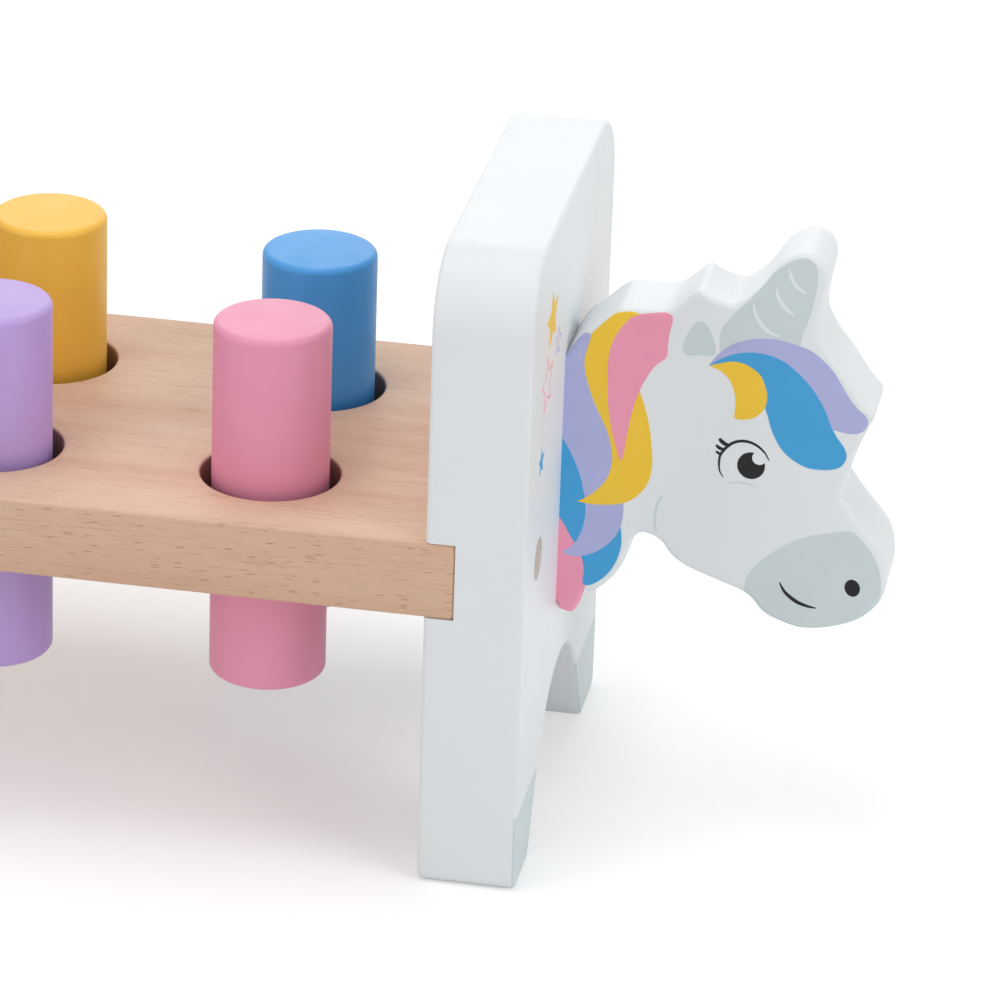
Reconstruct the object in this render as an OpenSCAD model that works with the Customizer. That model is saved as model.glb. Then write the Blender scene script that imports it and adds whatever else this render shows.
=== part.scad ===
// Peg pounding bench: a beech plank housed between two white end panels, a fretsawn
// unicorn head doweled to one of them, and pegs gripped by rubber rings in the plank.
// +X points to the head, +Y to the animal's left, +Z up; the feet stand on Z = 0.

/* [Plank] */
// Width of the plank and of both end panels
bench_w = 91; // [84:1:110]
// Thickness of the plank
plank_t = 15; // [12:0.5:20]
// Rounding of the plank's long edges
plank_edge_r = 0.8; // [0.4:0.1:2]

/* [Pegs] */
// Diameter of a peg
peg_d = 22; // [18:0.5:25]
// Length of a peg
peg_l = 71; // [64:1:76]
// Rounding of a peg's end edges
peg_edge_r = 2; // [0.5:0.25:4]
// Height of a half-driven peg above the plank
peg_rise = 30; // [20:1:36]
// Distance between neighbouring pegs along the plank
peg_pitch = 53; // [46:1:66]
// Distance between the two rows of pegs
row_gap = 42.5; // [36:0.5:46]
// Clear length from an end panel to the first pegs' centres
end_gap = 34; // [32:0.5:50]
// Number of pegs in a row
columns = 4; // [2:1:5]
// Room between a peg and the wall of its hole
hole_room = 2; // [1:0.25:2.5]
// Rounding of a hole's rim
hole_edge_r = 0.8; // [0.4:0.1:1.5]

/* [Grip rings] */
// Thickness of a rubber ring's cord
ring_cord_d = 3; // [2.75:0.25:4]

/* [End panels] */
// Height of an end panel
panel_h = 124; // [114:1:150]
// Thickness of an end panel
panel_t = 18.5; // [15:0.5:22]
// Radius of a panel's top corners
panel_corner_r = 14; // [8:1:24]
// Radius of a leg's outer bottom corner
foot_corner_r = 2.5; // [2:0.5:6]
// Rounding of a panel's edges
panel_edge_r = 1; // [0.5:0.25:2]
// Width of a leg at the floor
leg_w = 15; // [10:0.5:20]
// Height of the arch between the legs
arch_h = 27.5; // [20:0.5:34]
// Lean of the arch's straight sides
arch_lean = 30; // [20:1:34]
// Depth of the housing that takes the plank's end
housing_d = 5.5; // [3:0.5:8]

/* [Dowels] */
// Diameter of the plank's dowels
dowel_d = 8; // [6:0.5:10]
// Length of the plank's dowels
dowel_l = 35; // [28:1:36]
// Distance of the plank's dowels from its long edges
dowel_edge = 14.5; // [12:0.5:20]
// Diameter of the head's dowels
head_dowel_d = 8; // [6:0.5:9]
// Length of the head's dowels
head_dowel_l = 28; // [22:1:32]
// Depth of the head's dowels in the panel
head_dowel_in = 9; // [7:0.5:10]

/* [Head] */
// Length of the head from the panel to the nose
head_l = 62; // [54:1:76]
// Height of the head from the mane's lowest lock to the horn's tip
head_h = 77; // [66:1:90]
// Thickness of the head
head_t = 15.5; // [12:0.5:20]
// Height of the mane's lowest lock above the floor
head_lift = 40.5; // [32:0.5:44]
// Rounding of the head's edges
head_edge_r = 1.2; // [0.8:0.1:2]

/* [Hidden] */
$fn = 96;

// How far a cutting body runs past what it cuts
overrun = 1;
// Room round a glued dowel
dowel_room = 0.05;
// Room past a dowel's blind end
dowel_end_room = 0.4;
// Bevel of a dowel's hidden end
dowel_bevel = 0.8;
// Running room between a ring and the peg in it
grip_room = 0.15;
// Room of a ring in its groove
ring_room = 0.1;
// A rounding meets the faces beside it with a fine crease, at this share of its radius
crease_share = 1.02;
// Stretches of an outline curve between two of its points, and rings round an edge
curve_steps = 3;
edge_steps = 3;

rows = ["right", "left"];
peg_r = peg_d / 2;
hole_r = peg_r + hole_room;
ring_r = peg_r + grip_room + ring_cord_d / 2;
ring_groove_r = ring_r + ring_cord_d / 2 + ring_room;
ring_groove_w = ring_cord_d + 2 * ring_room;

bench_l = 2 * (panel_t + end_gap) + (columns - 1) * peg_pitch;
plank_l = bench_l - 2 * (panel_t - housing_d);
// The plank lies midway up the panels, so that the bench works either way up
plank_top = (panel_h + plank_t) / 2;
plank_mid = panel_h / 2;
plank_bottom = plank_top - plank_t;

// The middle of the whole length, head included, is at X = 0
tail_x = -(bench_l + head_l) / 2;
head_x = tail_x + bench_l;
bench_mid_x = (tail_x + head_x) / 2;

arch_w = bench_w - 2 * leg_w;
// Radius of the round top that would just touch the arch's leaning sides, and where it would
touch_r = (arch_w / 2 * cos(arch_lean) - arch_h * sin(arch_lean)) / (1 - sin(arch_lean));
arch_side_x = touch_r * cos(arch_lean);
arch_side_z = arch_h - touch_r * (1 - sin(arch_lean));
arch_r = touch_r * crease_share;
dowel_y = bench_w / 2 - dowel_edge;
dowel_in_plank = dowel_l - (panel_t - housing_d);

// How high each peg stands, row by row, as a share of peg_rise
peg_rise_shares = [[1.02, 0.97, 1, 0.96, 1.01], [0.93, 1, 0.97, 1.02, 0.98]];
peg_colours = [
    ["hotpink", "mediumpurple", "steelblue", "goldenrod", "hotpink"],
    ["steelblue", "goldenrod", "hotpink", "mediumpurple", "steelblue"]
];

// Heights of the head's dowels, as shares of the head's height
head_dowel_shares = [0.31, 0.57];

// Outline of the head in shares of its length and height, from the mane's lowest lock
// along the throat, jaw, muzzle, forelock, horn and ear to the top of the mane
neck_shares = [
    [0, 0.025], [0.01, 0.007], [0.04, 0], [0.058, 0.007], [0.075, 0.033], [0.088, 0.056],
    [0.12, 0.065], [0.17, 0.104], [0.205, 0.155], [0.23, 0.215]
];
jaw_shares = [[0.26, 0.231], [0.31, 0.215], [0.345, 0.18], [0.395, 0.153], [0.48, 0.127], [0.58, 0.097]];
muzzle_shares = [
    [0.635, 0.052], [0.71, 0.027], [0.77, 0.021], [0.855, 0.035], [0.932, 0.065], [0.987, 0.118],
    [1, 0.18], [0.98, 0.248], [0.925, 0.305], [0.89, 0.338]
];
forelock_shares = [
    [0.865, 0.366], [0.851, 0.387], [0.865, 0.434], [0.888, 0.504], [0.923, 0.577], [0.932, 0.602],
    [0.895, 0.638], [0.84, 0.702]
];
horn_shares = [
    [0.79, 0.752], [0.755, 0.81], [0.76, 0.875], [0.772, 0.94], [0.755, 0.982], [0.7, 1],
    [0.637, 0.975], [0.608, 0.942], [0.57, 0.897], [0.53, 0.868]
];
ear_shares = [[0.49, 0.854], [0.43, 0.868], [0.396, 0.879], [0.365, 0.863], [0.34, 0.843]];
mane_shares = [[0.29, 0.821], [0.182, 0.817], [0.145, 0.808], [0.09, 0.768], [0.038, 0.727], [0, 0.68]];
outline_shares = concat(
    neck_shares, jaw_shares, muzzle_shares, forelock_shares, horn_shares, ear_shares, mane_shares
);

function peg_x(c) = head_x - panel_t - end_gap - c * peg_pitch;
function row_y(r) = (r - 1 / 2) * row_gap;
function peg_name(r, c) = str("peg_", rows[r], "_", c + 1);
function ring_name(r, c) = str("grip_ring_", rows[r], "_", c + 1);

// A point at share t of the stretch from b to c on a smooth curve through a, b, c and d
function curve_point(a, b, c, d, t) =
    b + t * ((c - a) + t * (2 * a - 5 * b + 4 * c - d + t * (3 * (b - c) + d - a))) / 2;

// The smooth open curve through the points p
function curve(p) = let (last = len(p) - 1) [
    for (i = [0 : last - 1], s = [0 : curve_steps - 1])
        curve_point(p[max(i - 1, 0)], p[i], p[i + 1], p[min(i + 2, last)], s / curve_steps),
    p[last]
];

// Outward direction at point i of the open outline p, square to the panel at both ends
function outward(p, i) = let (last = len(p) - 1, t = p[min(i + 1, last)] - p[max(i - 1, 0)])
    i == 0 ? [0, -1] : i == last ? [0, 1] : [t[1], -t[0]] / norm(t);

// A w by h rectangle about the origin with corners of radius r
module rounded_rect(w, h, r) {
    square([w - 2 * r, h], center = true);
    square([w, h - 2 * r], center = true);
    for (x = [-1, 1], y = [-1, 1])
        translate([x * (w / 2 - r), y * (h / 2 - r)])
            circle(r);
}

// Section of what an edge loses when it is rounded: the edge is at the origin, and the
// material lies at negative x and y
module edge_section(r) {
    difference() {
        translate([-r, -r])
            square(r + overrun);
        translate([-r, -r])
            circle(r * crease_share);
    }
}

// Cutter for a straight edge of length l along y, with the material at negative x and z
module straight_edge(l, r) {
    translate([0, l / 2, 0])
        rotate([90, 0, 0])
            linear_extrude(l)
                edge_section(r);
}

// Cutter for the edge of a round corner or disc of radius big_r, over an angle
module round_edge(big_r, r, angle) {
    rotate_extrude(angle = angle)
        translate([big_r, 0])
            edge_section(r);
}

// Cutter for the rim of a round opening of radius big_r
module rim_edge(big_r, r) {
    rotate_extrude()
        translate([big_r, 0])
            mirror([1, 0])
                edge_section(r);
}

// Outline of an end panel, width along x and height along y: round corners and an arch
module panel_outline() {
    top_w = bench_w - 2 * panel_corner_r;
    foot_w = bench_w - 2 * foot_corner_r;
    below_w = arch_w + 2 * overrun * tan(arch_lean);
    difference() {
        union() {
            translate([-bench_w / 2, foot_corner_r])
                square([bench_w, panel_h - panel_corner_r - foot_corner_r]);
            translate([-top_w / 2, panel_h / 2])
                square([top_w, panel_h / 2]);
            translate([-foot_w / 2, 0])
                square([foot_w, panel_h / 2]);
            for (x = [-1, 1]) {
                translate([x * top_w / 2, panel_h - panel_corner_r])
                    circle(panel_corner_r);
                translate([x * foot_w / 2, foot_corner_r])
                    circle(foot_corner_r);
            }
        }
        translate([0, arch_h - arch_r])
            circle(arch_r);
        polygon([
            [-arch_side_x, arch_side_z], [-below_w / 2, -overrun],
            [below_w / 2, -overrun], [arch_side_x, arch_side_z]
        ]);
    }
}

// Everything that rounds the edges of the panel face at z = 0, material at negative z
module panel_face_edges() {
    top_w = bench_w - 2 * panel_corner_r;
    foot_w = bench_w - 2 * foot_corner_r;
    side_l = panel_h - panel_corner_r - foot_corner_r;
    arch_side_l = (arch_side_z + overrun) / cos(arch_lean);
    translate([0, panel_h, 0])
        rotate([0, 0, 90])
            straight_edge(top_w, panel_edge_r);
    rotate([0, 0, -90])
        straight_edge(foot_w, panel_edge_r);
    for (side = [0, 1])
        mirror([side, 0, 0]) {
            translate([bench_w / 2, foot_corner_r + side_l / 2, 0])
                straight_edge(side_l, panel_edge_r);
            translate([top_w / 2, panel_h - panel_corner_r, 0])
                round_edge(panel_corner_r, panel_edge_r, 90);
            translate([foot_w / 2, foot_corner_r, 0])
                rotate([0, 0, -90])
                    round_edge(foot_corner_r, panel_edge_r, 90);
            translate([arch_side_x, arch_side_z, 0])
                rotate([0, 0, 180 + arch_lean])
                    translate([0, arch_side_l / 2, 0])
                        straight_edge(arch_side_l, panel_edge_r);
        }
    translate([0, arch_h - arch_r, 0])
        rim_edge(arch_r, panel_edge_r);
}

// An end panel standing on the floor: inner face at X = 0, outer face at X = panel_t
module end_panel() {
    rotate([90, 0, 90])
        difference() {
            linear_extrude(panel_t)
                panel_outline();
            translate([0, 0, panel_t])
                panel_face_edges();
            mirror([0, 0, 1])
                panel_face_edges();
            translate([-bench_w / 2 - overrun, plank_bottom, -overrun])
                cube([bench_w + 2 * overrun, plank_t, housing_d + overrun]);
            for (x = [-dowel_y, dowel_y])
                translate([x, plank_mid, 0])
                    cylinder(r = dowel_d / 2 + dowel_room, h = panel_t + overrun);
        }
}

// A glued dowel along +X with its flush end at X = 0 and its bevelled end at X = l
module dowel(d, l) {
    rotate([0, 90, 0])
        rotate_extrude()
            polygon([[0, 0], [d / 2, 0], [d / 2, l - dowel_bevel], [d / 2 - dowel_bevel, l], [0, l]]);
}

// The two dowels that run through a panel into the plank, flush with the panel at X = 0
module plank_dowels() {
    for (y = [-dowel_y, dowel_y])
        translate([0, y, plank_mid])
            dowel(dowel_d, dowel_l);
}

// The places of the head's dowels on the panel's outer face
module at_head_dowels() {
    for (share = head_dowel_shares)
        translate([head_x, 0, head_lift + share * head_h])
            children();
}

// A hole through the plank with its ring groove and rounded rims, about the plank's middle
module peg_hole() {
    translate([0, 0, -plank_t / 2 - overrun])
        cylinder(r = hole_r, h = plank_t + 2 * overrun);
    cylinder(r = ring_groove_r, h = ring_groove_w, center = true);
    for (side = [0, 1])
        mirror([0, 0, side])
            translate([0, 0, plank_t / 2])
                rim_edge(hole_r, hole_edge_r);
}

// A flat piece cut to the head's outline, lofted through rings that round its edges
module head_plate() {
    points = curve([for (s = outline_shares) [s[0] * head_l, s[1] * head_h]]);
    count = len(points);
    half = [for (k = [0 : edge_steps]) let (a = 90 * k / edge_steps)
        [-head_t / 2 + head_edge_r * (1 - sin(a)), head_edge_r * (1 - cos(a))]];
    levels = concat(
        [for (k = [edge_steps : -1 : 0]) half[k]],
        [for (k = [0 : edge_steps]) [-half[k][0], half[k][1]]]
    );
    top = len(levels) - 1;
    polyhedron(
        points = [for (level = levels, i = [0 : count - 1])
            let (p = points[i] - level[1] * outward(points, i)) [p[0], level[0], p[1]]],
        faces = concat(
            [[for (i = [count - 1 : -1 : 0]) i]],
            [for (k = [0 : top - 1], i = [0 : count - 1]) let (j = (i + 1) % count)
                [k * count + i, k * count + j, (k + 1) * count + j, (k + 1) * count + i]],
            [[for (i = [0 : count - 1]) top * count + i]]
        )
    );
}

module bench_plank() {
    color("burlywood")
        difference() {
            translate([bench_mid_x - plank_l / 2, 0, plank_mid])
                rotate([90, 0, 90])
                    linear_extrude(plank_l)
                        rounded_rect(bench_w, plank_t, plank_edge_r);
            for (r = [0 : len(rows) - 1], c = [0 : columns - 1])
                translate([peg_x(c), row_y(r), plank_mid])
                    peg_hole();
            for (end = [0, 1], y = [-dowel_y, dowel_y])
                translate([bench_mid_x, y, plank_mid])
                    mirror([end, 0, 0])
                        translate([plank_l / 2 + overrun, 0, 0])
                            rotate([0, -90, 0])
                                cylinder(
                                    r = dowel_d / 2 + dowel_room,
                                    h = dowel_in_plank + dowel_end_room + overrun
                                );
        }
}

module head_end_panel() {
    color("white")
        difference() {
            translate([head_x - panel_t, 0, 0])
                end_panel();
            at_head_dowels()
                translate([overrun, 0, 0])
                    rotate([0, -90, 0])
                        cylinder(
                            r = head_dowel_d / 2 + dowel_room,
                            h = head_dowel_in + dowel_end_room + overrun
                        );
        }
}

module tail_end_panel() {
    color("white")
        translate([tail_x + panel_t, 0, 0])
            mirror([1, 0, 0])
                end_panel();
}

module unicorn_head() {
    color("white")
        difference() {
            translate([head_x, 0, head_lift])
                head_plate();
            at_head_dowels()
                translate([-overrun, 0, 0])
                    rotate([0, 90, 0])
                        cylinder(
                            r = head_dowel_d / 2 + dowel_room,
                            h = head_dowel_l - head_dowel_in + dowel_end_room + overrun
                        );
        }
}

module head_dowels() {
    color("tan")
        at_head_dowels()
            translate([-head_dowel_in, 0, 0])
                dowel(head_dowel_d, head_dowel_l);
}

module head_panel_dowels() {
    color("tan")
        translate([head_x, 0, 0])
            mirror([1, 0, 0])
                plank_dowels();
}

module tail_panel_dowels() {
    color("tan")
        translate([tail_x, 0, 0])
            plank_dowels();
}

// A turned peg with rounded ends, standing half driven in its hole
module peg(r, c) {
    top = plank_top + peg_rise * peg_rise_shares[r][c];
    color(peg_colours[r][c])
        translate([peg_x(c), row_y(r), top - peg_l])
            rotate_extrude() {
                square([peg_r - peg_edge_r, peg_l]);
                translate([0, peg_edge_r])
                    square([peg_r, peg_l - 2 * peg_edge_r]);
                for (z = [peg_edge_r, peg_l - peg_edge_r])
                    translate([peg_r - peg_edge_r, z])
                        circle(peg_edge_r);
            }
}

// A rubber ring in the groove of a peg's hole
module grip_ring(r, c) {
    color("dimgray")
        translate([peg_x(c), row_y(r), plank_mid])
            rotate_extrude()
                translate([ring_r, 0])
                    circle(d = ring_cord_d);
}

bench_plank();
head_end_panel();
tail_end_panel();
unicorn_head();
head_dowels();
head_panel_dowels();
tail_panel_dowels();
for (r = [0 : len(rows) - 1], c = [0 : columns - 1]) {
    peg(r, c);
    grip_ring(r, c);
}
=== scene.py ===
"""A peg pounding bench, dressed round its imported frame.

Each sub-assembly is a class that takes its place from the frame, models its pieces and dresses
them. Lengths are in metres, and MM turns millimetres into metres. +X points to the animal's head,
+Y to its left and +Z up.
"""
import logging
import math
from collections.abc import Callable, Iterable, Sequence
from dataclasses import dataclass, field, replace
from enum import Enum

import bmesh
import bpy
from mathutils import Matrix, Vector


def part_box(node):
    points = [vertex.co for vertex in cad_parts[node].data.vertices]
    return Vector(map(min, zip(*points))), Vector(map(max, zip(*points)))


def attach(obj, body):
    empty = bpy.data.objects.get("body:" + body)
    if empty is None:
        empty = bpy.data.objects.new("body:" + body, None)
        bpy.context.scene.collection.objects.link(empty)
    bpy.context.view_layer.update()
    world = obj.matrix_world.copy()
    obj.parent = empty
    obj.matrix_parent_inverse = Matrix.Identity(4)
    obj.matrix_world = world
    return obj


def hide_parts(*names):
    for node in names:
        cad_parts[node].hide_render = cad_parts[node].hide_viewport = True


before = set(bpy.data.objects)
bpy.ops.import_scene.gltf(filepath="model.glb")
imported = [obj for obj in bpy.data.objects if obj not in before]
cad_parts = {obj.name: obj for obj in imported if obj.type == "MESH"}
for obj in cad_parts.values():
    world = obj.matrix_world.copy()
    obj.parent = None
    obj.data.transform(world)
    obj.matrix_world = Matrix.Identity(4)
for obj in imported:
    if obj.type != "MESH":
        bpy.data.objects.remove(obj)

LOG = logging.getLogger("peg_bench")
MM = 0.001
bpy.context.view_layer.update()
BENCH = "bench"
MICRON = 0.001 * MM
# How far a cutting body reaches past what it cuts
OVERRUN = 1 * MM
# Edges that turn by more than this stay crisp
CREASE = math.radians(40)
# Part of a face's normal along a direction, from which the face counts as looking that way
LEVEL = 0.99999
# Power of the sine by which a brush line swells: a smaller one makes it fuller near its tips
SWELL = 0.8
TURN_SEGMENTS = 96

Point = tuple[float, float]
Cell = tuple[float, float, float]
Colour = tuple[float, float, float, float]
Place = Callable[[float, float, float], Vector]
Inputs = dict[str | int, object]


class End(Enum):
    """The two ends of the bench, with the outward direction along X."""

    HEAD = 1
    TAIL = -1


class Row(Enum):
    """The two rows of pegs, named for the animal's sides."""

    RIGHT = "right"
    LEFT = "left"


class Cut(Enum):
    """What a cutting body does to a piece."""

    AWAY = "DIFFERENCE"
    SHARED = "INTERSECT"


class Grain(Enum):
    """The way the timber's grain runs, as the turn that brings it to X."""

    ALONG_X = (0.0, 0.0, 0.0)
    ALONG_Z = (0.0, math.pi / 2, 0.0)


class Faces(Enum):
    """Attributes that note how a face of bare timber was cut."""

    SAWN = "sawn_side"
    DRILLED = "drilled"


def srgb(red: int, green: int, blue: int) -> Colour:
    """The linear colour of an 8-bit screen colour.

    Args:
        red: Red, from 0 to 255.
        green: Green, likewise.
        blue: Blue, likewise.

    Returns:
        The colour, opaque.
    """
    linear = [c / 12.92 if c <= 0.04045 else ((c + 0.055) / 1.055) ** 2.4 for c in
              (red / 255, green / 255, blue / 255)]
    return (linear[0], linear[1], linear[2], 1.0)


def shaded(colour: Colour, share: float) -> Colour:
    """A colour darkened to a share of its light."""
    return (colour[0] * share, colour[1] * share, colour[2] * share, 1.0)


def arc(centre: Point, radius: float, start: float, end: float, steps: int) -> list[Point]:
    """Points along an arc.

    Args:
        centre: Middle of the arc.
        radius: Its radius.
        start: Angle of the first point, in degrees.
        end: Angle of the last point, in degrees.
        steps: Number of stretches.

    Returns:
        The points from start to end.
    """
    angles = [math.radians(start + (end - start) * k / steps) for k in range(steps + 1)]
    return [(centre[0] + radius * math.cos(a), centre[1] + radius * math.sin(a)) for a in angles]


def smooth(points: Sequence[Point], steps: int) -> list[Point]:
    """The smooth open curve through some points.

    Args:
        points: Points that the curve passes, ends included.
        steps: Stretches between two of them.

    Returns:
        The finer points of the curve.
    """
    knots = [Vector(p) for p in points]
    last = len(knots) - 1
    fine: list[Point] = []
    for i in range(last):
        a, b, c, d = knots[max(i - 1, 0)], knots[i], knots[i + 1], knots[min(i + 2, last)]
        for s in range(steps):
            t = s / steps
            p = b + t * ((c - a) + t * (2 * a - 5 * b + 4 * c - d + t * (3 * (b - c) + d - a))) / 2
            fine.append((p.x, p.y))
    return [*fine, points[-1]]


def tapered_line(points: Sequence[Point], width: float, tip: float, steps: int) -> list[Point]:
    """The closed outline of a brush line that swells in its middle.

    Args:
        points: Points along the line.
        width: Width in the middle.
        tip: Width at both ends.
        steps: Stretches between two points.

    Returns:
        The outline, once round.
    """
    line = [Vector(p) for p in smooth(points, steps)]
    last = len(line) - 1
    left: list[Point] = []
    right: list[Point] = []
    for i, p in enumerate(line):
        along = (line[min(i + 1, last)] - line[max(i - 1, 0)]).normalized()
        half = (tip + (width - tip) * math.sin(math.pi * i / last) ** SWELL) / 2
        left.append((p.x - along.y * half, p.y + along.x * half))
        right.append((p.x + along.y * half, p.y - along.x * half))
    return [*right, *reversed(left)]


def make_piece(name: str, mesh: bpy.types.Mesh) -> bpy.types.Object:
    """Link a new object that shows a mesh.

    Args:
        name: Name of the object.
        mesh: Its mesh.

    Returns:
        The object.
    """
    piece = bpy.data.objects.new(name, mesh)
    bpy.context.scene.collection.objects.link(piece)
    return piece


def drop(piece: bpy.types.Object) -> None:
    """Remove an object and its mesh.

    Args:
        piece: The object.
    """
    mesh = piece.data
    bpy.data.objects.remove(piece)
    bpy.data.meshes.remove(mesh)


def settle(piece: bpy.types.Object) -> None:
    """Turn a piece's live modifiers into plain mesh.

    Args:
        piece: The object, which keeps its name and loses its modifiers.
    """
    bpy.context.view_layer.update()
    depsgraph = bpy.context.evaluated_depsgraph_get()
    mesh = bpy.data.meshes.new_from_object(piece.evaluated_get(depsgraph), depsgraph=depsgraph)
    old = piece.data
    piece.modifiers.clear()
    piece.data = mesh
    bpy.data.meshes.remove(old)


def carve(piece: bpy.types.Object, cutter: bpy.types.Object, how: Cut) -> None:
    """Cut a piece with a cutting body, which is then dropped.

    Args:
        piece: The object to cut.
        cutter: The cutting body.
        how: What the cut leaves.
    """
    modifier = piece.modifiers.new("cut", "BOOLEAN")
    modifier.operation = how.value
    modifier.solver = "MANIFOLD"
    modifier.object = cutter
    settle(piece)
    drop(cutter)


def shade(mesh: bpy.types.Mesh, flat: Vector | None = None) -> None:
    """Shade a mesh smooth, with crisp corners and true flat faces.

    Args:
        mesh: The mesh.
        flat: Direction that the large flat faces look along, if there are any.
    """
    for face in mesh.polygons:
        level = flat is not None and abs(face.normal.dot(flat)) > LEVEL
        face.use_smooth = not level and (flat is not None or len(face.vertices) <= 4)
    mesh.set_sharp_from_angle(angle=CREASE)


def closed_mesh(name: str, rings: Sequence[Sequence[Vector]]) -> bpy.types.Mesh:
    """A closed mesh through rings of as many points each, capped at both ends.

    Args:
        name: Name of the mesh.
        rings: The rings, from one cap to the other.

    Returns:
        The mesh, with its faces outwards.
    """
    count = len(rings[0])
    faces = [[k * count + i, k * count + (i + 1) % count, (k + 1) * count + (i + 1) % count,
              (k + 1) * count + i] for k in range(len(rings) - 1) for i in range(count)]
    faces.append(list(range(count)))
    faces.append([(len(rings) - 1) * count + i for i in range(count)])
    mesh = bpy.data.meshes.new(name)
    mesh.from_pydata([p for ring in rings for p in ring], [], faces)
    face_out(mesh)
    return mesh


def face_out(mesh: bpy.types.Mesh) -> None:
    """Turn the faces of a closed mesh outwards.

    Args:
        mesh: The mesh.
    """
    work = bmesh.new()
    work.from_mesh(mesh)
    bmesh.ops.recalc_face_normals(work, faces=work.faces)
    work.to_mesh(mesh)
    work.free()


def join_meshes(name: str, meshes: Iterable[bpy.types.Mesh]) -> bpy.types.Mesh:
    """One mesh that holds several, which are then dropped.

    Args:
        name: Name of the new mesh.
        meshes: The meshes to join.

    Returns:
        The joined mesh.
    """
    work = bmesh.new()
    for mesh in meshes:
        work.from_mesh(mesh)
        bpy.data.meshes.remove(mesh)
    joined = bpy.data.meshes.new(name)
    work.to_mesh(joined)
    work.free()
    return joined


@dataclass(frozen=True)
class Plate:
    """A board cut to an outline, with rounded edges on both faces.

    Attributes:
        outline: Points of the outline, counter-clockwise.
        thickness: Thickness of the board.
        edge_radius: Rounding of its edges.
        place: Where a point of the outline lies, given its offset from mid-thickness.
        seated: True if the side from the last point to the first sits on another piece.
        edge_steps: Stretches round an edge.
        reach: Points to each side that a tight turn is judged by.
        ease: Largest rounding as a share of the turn's own radius.
        tight_turn: Least turn that counts as tight, in radians.
    """

    outline: tuple[Point, ...]
    thickness: float
    edge_radius: float
    place: Place
    seated: bool = False
    edge_steps: int = 7
    reach: int = 4
    ease: float = 0.6
    tight_turn: float = 0.05

    def outward(self) -> list[Vector]:
        """Outward direction at each point, long enough to offset both sides alike.

        Returns:
            One vector per point.
        """
        points = [Vector(p) for p in self.outline]
        count = len(points)
        found: list[Vector] = []
        for i, p in enumerate(points):
            before = (p - points[i - 1]).normalized()
            after = (points[(i + 1) % count] - p).normalized()
            if self.seated and i == 0:
                found.append(Vector((0, -1)))
            elif self.seated and i == count - 1:
                found.append(Vector((0, 1)))
            else:
                middle = Vector((before.y + after.y, -before.x - after.x)).normalized()
                found.append(middle / max(0.5, middle.dot(Vector((after.y, -after.x)))))
        return found

    def roundings(self) -> list[float]:
        """Radius of the rounding at each point, smaller where the outline turns tightly.

        Returns:
            One radius per point.
        """
        points = [Vector(p) for p in self.outline]
        count = len(points)
        if not self.seated:
            return [self.edge_radius] * count
        limits = []
        for i, p in enumerate(points):
            before = p - points[max(i - self.reach, 0)]
            after = points[min(i + self.reach, count - 1)] - p
            turn = before.angle_signed(after, 0.0) if before.length and after.length else 0.0
            tight = -turn > self.tight_turn
            bend = (before.length + after.length) / 4 / math.tan(-turn / 2) if tight else math.inf
            limits.append(min(self.edge_radius, self.ease * bend))
        wide = range(-self.reach, self.reach + 1)
        least = [min(limits[min(max(i + k, 0), count - 1)] for k in wide) for i in range(count)]
        return [sum(least[min(max(i + k, 0), count - 1)] for k in wide) / len(wide)
                for i in range(count)]

    def grown(self, film: float) -> "Plate":
        """The same board under a film of paint, for cutting the film to shape.

        Args:
            film: Thickness of the film.

        Returns:
            The larger board.
        """
        outward = self.outward()
        wider = tuple((p[0] + n.x * film, p[1] + n.y * film) for p, n in zip(self.outline, outward))
        return replace(self, outline=wider, thickness=self.thickness + 2 * film,
                       edge_radius=self.edge_radius + film)

    def mesh(self, name: str) -> bpy.types.Mesh:
        """The board as a closed mesh.

        Args:
            name: Name of the mesh.

        Returns:
            The mesh.
        """
        outward = self.outward()
        radii = self.roundings()
        half = [math.radians(90 * k / self.edge_steps) for k in range(self.edge_steps, -1, -1)]
        rings = []
        for side, angles in ((-1, half), (1, list(reversed(half)))):
            for a in angles:
                ring = []
                for p, n, r in zip(self.outline, outward, radii):
                    depth = side * (self.thickness / 2 - r * (1 - math.sin(a)))
                    inset = r * (1 - math.cos(a))
                    ring.append(self.place(p[0] - n.x * inset, p[1] - n.y * inset, depth))
                rings.append(ring)
        return closed_mesh(name, rings)


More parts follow.
